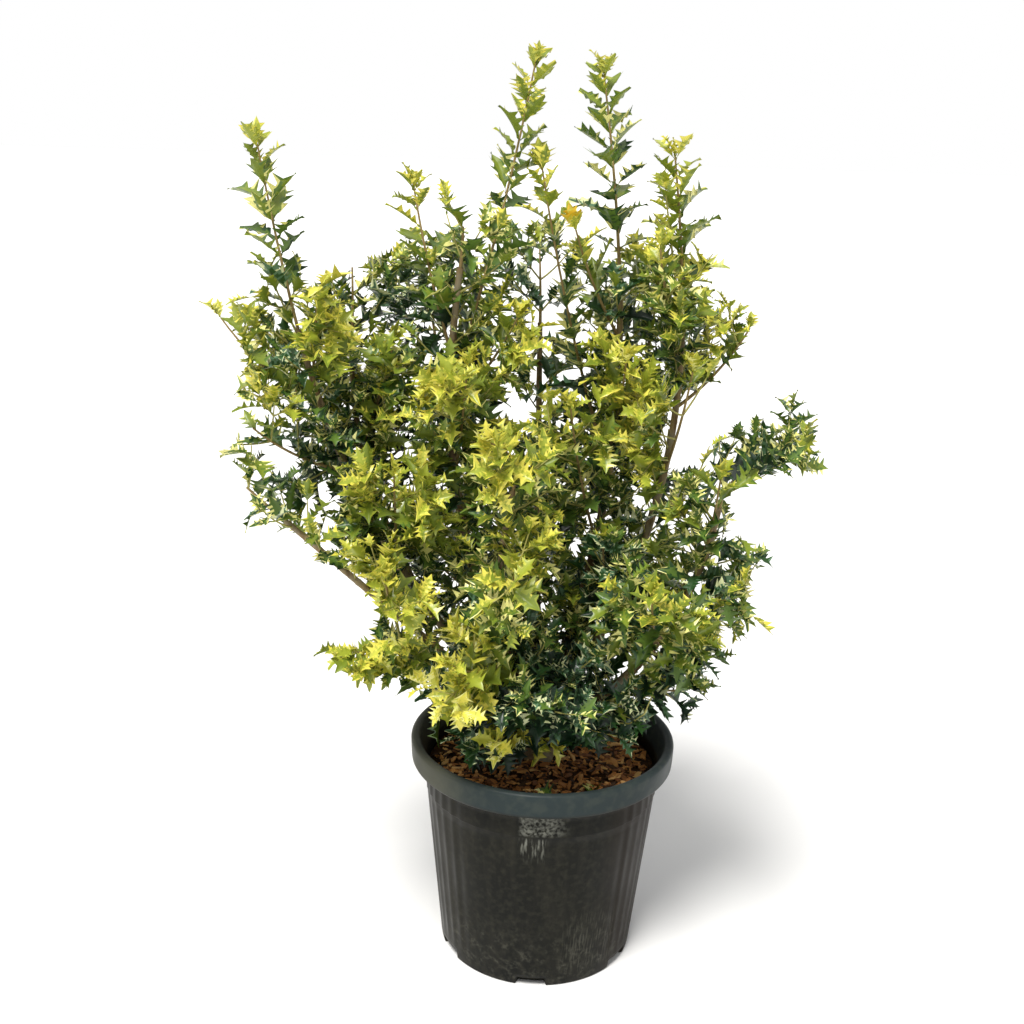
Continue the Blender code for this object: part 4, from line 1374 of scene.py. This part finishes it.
# %% [markdown]
# ## The pot's finish
# Black plastic that stood outdoors: bluish grey on the rim, a dusty olive-brown film on the body, a
# whitish lime scuff below the rim at the front with runs under it, and fine scratches low on the
# right. Each is a layer: noises, kept to a soft-edged box, lay its colour over the ones before.

# %% Pot finish
PLASTIC_IOR = 1.3
# each noise's group, scale, detail and low and high end
POT_CLOUDS = {
    "dust": (MOTTLE, 9.0, 8.0, 0.36, 0.72),
    "fine": (MOTTLE, 120.0, 6.0, 0.45, 0.75),
    "runs": (STREAKS, 70.0, 5.0, 0.46, 0.70),
    "specks": (MOTTLE, 75.0, 10.0, 0.46, 0.66),
    "grain": (MOTTLE, 210.0, 8.0, 0.40, 0.62),
    "scratches": (STREAKS, 380.0, 6.0, 0.50, 0.64),
}
# each layer's soft-edged spans along the axes, noises, strength and colour
BODY_LAYERS = (
    ((), ("dust",), 0.75, "1c1c17"),
    ((), ("fine",), 0.35, "3a392f"),
    ((), ("runs",), 0.30, "312f28"),
    ((("X", -0.070, -0.130),), (), 0.45, "2b2820"),                                  # left side
    ((("X", 0.070, 0.115),), (), 0.85, "1a130a"),                                    # right side
    ((("Z", 0.120, 0.030), ("Y", -0.02, -0.09)), ("grain", "specks"), 0.60, "4c4b42"),  # low dust
    ((("X", 0.020, 0.055), ("X", 0.115, 0.090), ("Z", 0.130, 0.070), ("Z", 0.012, 0.030)),
     ("scratches",), 0.50, "504f46"),                                                # worn, low right
)
RIM_LAYERS = (
    ((), ("specks",), 0.40, "434943"),
    ((("X", -0.080, -0.150),), (), 0.7, "565546"),
)
ON_RIM = (("Z", RIM_FOOT - 0.008, RIM_FOOT),)
SCUFF_LAYERS = (
    ((("X", -0.032, -0.024), ("X", 0.040, 0.006), ("Y", -0.10, -0.13), ("Z", 0.236, 0.242),
      ("Z", 0.276, 0.266)), ("grain",), 0.85, "74756c"),                             # lime patch
    ((("X", -0.032, -0.022), ("X", 0.012, -0.002), ("Y", -0.10, -0.13), ("Z", 0.192, 0.226),
      ("Z", 0.236, 0.232)), ("scratches",), 0.90, "74756c"),                         # its runs
)


def height_mask(material, axis, low, high):
    """A mask that rises from 0 to 1 between two places along an axis of the object."""
    tree = material.node_tree
    place = tree.nodes.new("ShaderNodeTexCoord")
    parts = tree.nodes.new("ShaderNodeSeparateXYZ")
    ramp = tree.nodes.new("ShaderNodeMapRange")
    ramp.interpolation_type = "SMOOTHSTEP"
    ramp.inputs["From Min"].default_value = low
    ramp.inputs["From Max"].default_value = high
    tree.links.new(place.outputs["Object"], parts.inputs["Vector"])
    tree.links.new(parts.outputs[axis], ramp.inputs["Value"])
    return ramp.outputs["Result"]


def product(material, *masks):
    """Several masks multiplied."""
    tree = material.node_tree
    result = masks[0]
    for mask in masks[1:]:
        times = tree.nodes.new("ShaderNodeMath")
        times.operation = "MULTIPLY"
        times.use_clamp = True
        for index, factor in enumerate((result, mask)):
            if isinstance(factor, float):
                times.inputs[index].default_value = factor
            else:
                tree.links.new(factor, times.inputs[index])
        result = times.outputs["Value"]
    return result


def lay_over(material, base, layers, clouds):
    """Each layer's colour over those before it, by its spans, noises and strength."""
    for spans, names, strength, colour in layers:
        masks = [height_mask(material, *span) for span in spans]
        masks += [clouds[name].outputs["Mask"] for name in names]
        base = mix_colours(material, product(material, *masks, strength), base, colour)
    return base


def make_pot_plastic():
    """Dusty black plastic with scuffs and runs."""
    plastic = new_material("pot_plastic", "1a1c1b", 0.45, 0.22)
    tree = plastic.node_tree
    shader = tree.nodes["Principled BSDF"]
    shader.inputs["IOR"].default_value = PLASTIC_IOR
    clouds = {}
    for name, (group, scale, detail, low, high) in POT_CLOUDS.items():
        clouds[name] = place_group(plastic, group, Scale=scale, Detail=detail, Low=low, High=high)
    body = lay_over(plastic, "121311", BODY_LAYERS, clouds)
    rim = lay_over(plastic, "2d3637", RIM_LAYERS, clouds)
    body = lay_over(plastic, body, ((ON_RIM, (), 0.90, rim),), clouds)
    body = lay_over(plastic, body, SCUFF_LAYERS, clouds)
    tree.links.new(body, shader.inputs["Base Color"])
    link_roughness(plastic, clouds["dust"].outputs["Mask"], 0.34, 0.60)
    link_bump(plastic, clouds["fine"].outputs["Height"], 0.12, 0.001)
    return plastic


make_piece("nursery_pot", pot_pile, [make_pot_plastic()], ["pot"])
print("The pot is dressed")

# %% [markdown]
# ## Soil and bark mulch
# The pot is filled to 4 cm under its rim with chips of pine bark on dark, damp earth. The earth is a
# low mound with soft heaps and a rough surface, as it is left by watering, and the chips then lie
# on it at its own height.

# %% Mound
SOIL_TOP = 0.269
SOIL_DIP = 0.007
SOIL_RADIUS = 0.153
MOUND_SIDES = 96
MOUND_RINGS = 30
HEAPS = (0.0022, 38.0)         # height and fineness
CLODS = (0.0012, 260.0)


def soil_height(x, y):
    """Height of the mulch at a place, with soft heaps."""
    radius = math.hypot(x, y) / SOIL_RADIUS
    heap = HEAPS[0] * noise.noise(Vector((x, y, 0.3)) * HEAPS[1])
    return SOIL_TOP - SOIL_DIP * radius * radius + heap


def make_mound():
    """The rough ground under the chips."""
    earth = new_material("damp_earth", "2a1b11", 0.95, 0.1)
    grain = place_group(earth, MOTTLE, Scale=180.0, Detail=6.0, Low=0.35, High=0.65)
    tree = earth.node_tree
    mixed = mix_colours(earth, grain.outputs["Mask"], "1d130c", "4a3019")
    tree.links.new(mixed, tree.nodes["Principled BSDF"].inputs["Base Color"])
    link_bump(earth, grain.outputs["Height"], 0.8, 0.003)
    corners = []
    for ring in range(MOUND_RINGS + 1):
        radius = SOIL_RADIUS * ring / MOUND_RINGS
        for side in range(MOUND_SIDES):
            angle = 2.0 * math.pi * side / MOUND_SIDES
            x, y = radius * math.cos(angle), radius * math.sin(angle)
            rough = CLODS[0] * noise.noise(Vector((x, y, 0.0)) * CLODS[1]) if ring else 0.0
            corners.append((x, y, soil_height(x, y) + rough))
    faces = [(a, d, c, b) for a, b, c, d in ring_faces(MOUND_RINGS, MOUND_SIDES)]
    pile = Pile()
    pile.add(corners, faces, [0] * len(faces))
    make_piece("soil_mound", pile, [earth], ["soil"])


make_mound()
print("The mound has", MOUND_RINGS, "rings")

# %% [markdown]
# ## Bark chips
# The chips are tan where dry and dark brown in the damp. Some 1,500 of many sizes, each a bent wedge
# that lies nearly flat, give the top real depth, which a flat noise could not.

# %% Chips
CHIPS = 1500
CHIP_COLOURS = ("a8713e", "c48d50", "7d5230", "46301d", "dcae70")
CHIP_SHARES = (5, 4, 4, 4, 2)
CHIP_LENGTHS = (0.006, 0.022)
CHIP_SHORTENING = (0.6, 1.0)
CHIP_WIDTHS = (0.25, 0.55)     # of its length
CHIP_THICKNESSES = (0.0008, 0.0022)
CHIP_BEND = 0.12               # of its length
CHIP_SKEW = 0.1                # of its length
CHIP_ROUGHNESS = (0.8, 1.2)
CHIP_LIFTS = (0.0005, 0.0040)
CHIP_TILTS = (0.28, 0.22)
CHIP_SECTIONS = ((-0.5, 0.55), (0.0, 1.0), (0.5, 0.45))    # place along it and share of its width
CHIP_CORNERS = ((-0.5, -0.5), (0.5, -0.5), (0.5, 0.5), (-0.5, 0.5))
CHIP_FREE_EDGE = 0.008
CHIP_FREE_FOOT = 0.024         # clear of the woody foot


def chip_shape(dice):
    """A bent wedge of bark in its own space: corners and faces."""
    length = dice.uniform(*CHIP_LENGTHS) * dice.uniform(*CHIP_SHORTENING)
    width = length * dice.uniform(*CHIP_WIDTHS)
    thick = dice.uniform(*CHIP_THICKNESSES)
    bend = dice.uniform(-CHIP_BEND, CHIP_BEND) * length
    corners = []
    for section, (along, slim) in enumerate(CHIP_SECTIONS):
        for across, up in CHIP_CORNERS:
            corners.append(Vector((
                along * length + dice.uniform(-CHIP_SKEW, CHIP_SKEW) * length,
                across * width * slim * dice.uniform(*CHIP_ROUGHNESS),
                up * thick + (bend if section == 1 else 0.0))))
    return corners, [(3, 2, 1, 0), (8, 9, 10, 11)] + ring_faces(2, 4)


def make_chips():
    """All chips, strewn over the mound and clear of the woody foot."""
    materials = []
    for index, code in enumerate(CHIP_COLOURS):
        material = new_material("bark_chip_%d" % index, code, 0.85, 0.2)
        grain = place_group(material, STREAKS, Scale=200.0, Detail=4.0, Low=0.4, High=0.6)
        link_roughness(material, grain.outputs["Mask"], 0.7, 0.95)
        link_bump(material, grain.outputs["Height"], 0.5, 0.001)
        materials.append(material)
    dice = random.Random("chips %d" % SEED)
    pile = Pile()
    for _ in range(CHIPS):
        radius = (SOIL_RADIUS - CHIP_FREE_EDGE) * math.sqrt(dice.random())
        angle = dice.uniform(0.0, 2.0 * math.pi)
        x, y = radius * math.cos(angle), radius * math.sin(angle)
        if (Vector((x, y)) - FOOT_AT.xy).length < CHIP_FREE_FOOT:
            continue
        corners, faces = chip_shape(dice)
        tilt = Matrix.Rotation(dice.gauss(0.0, CHIP_TILTS[0]), 3, "X")
        tilt = tilt @ Matrix.Rotation(dice.gauss(0.0, CHIP_TILTS[1]), 3, "Y")
        spin = Matrix.Rotation(dice.uniform(0.0, 2.0 * math.pi), 3, "Z")
        place = Vector((x, y, soil_height(x, y) + dice.uniform(*CHIP_LIFTS)))
        colour = dice.choices(range(len(CHIP_COLOURS)), weights=CHIP_SHARES)[0]
        pile.add([spin @ tilt @ corner + place for corner in corners], faces, [colour] * len(faces))
    make_piece("bark_mulch", pile, materials, ["soil"], smooth=False)
    return len(pile.faces)


print("Bark chips:", make_chips())

# %% [markdown]
# ## Fallen leaves
# A few leaves have dropped on the mulch near the front, some still green and some yellowed. They
# are the same leaf patterns, laid nearly flat a few millimetres above the chips.

# %% Fallen leaves
FALLEN_LENGTH = 0.034
FALLEN_LIFT = 0.006
# each one's place, turn and tone
FALLEN = (
    (-0.020, -0.128, 0.4, 0.95), (0.014, -0.120, 2.2, 0.52), (0.060, -0.105, 1.2, 0.60),
    (-0.075, -0.095, 5.1, 0.35), (0.095, 0.030, 3.0, 0.70), (-0.040, 0.110, 0.9, 0.60),
)


def make_fallen():
    """Fallen leaves as one piece."""
    dice = random.Random("fallen %d" % SEED)
    pile = Pile()
    for x, y, turn, tone in FALLEN:
        root = Vector((x, y, soil_height(x, y) + FALLEN_LIFT))
        heading = Vector((math.cos(turn), math.sin(turn), dice.uniform(-0.05, 0.15)))
        upper = Vector((dice.uniform(-0.3, 0.3), dice.uniform(-0.3, 0.3), 1.0))
        add_leaf(pile, (root, heading, upper, FALLEN_LENGTH, tone), 1.0, dice)
    make_piece("fallen_leaves", pile, LEAF_MATERIALS, [])


make_fallen()
print("Fallen leaves:", len(FALLEN))
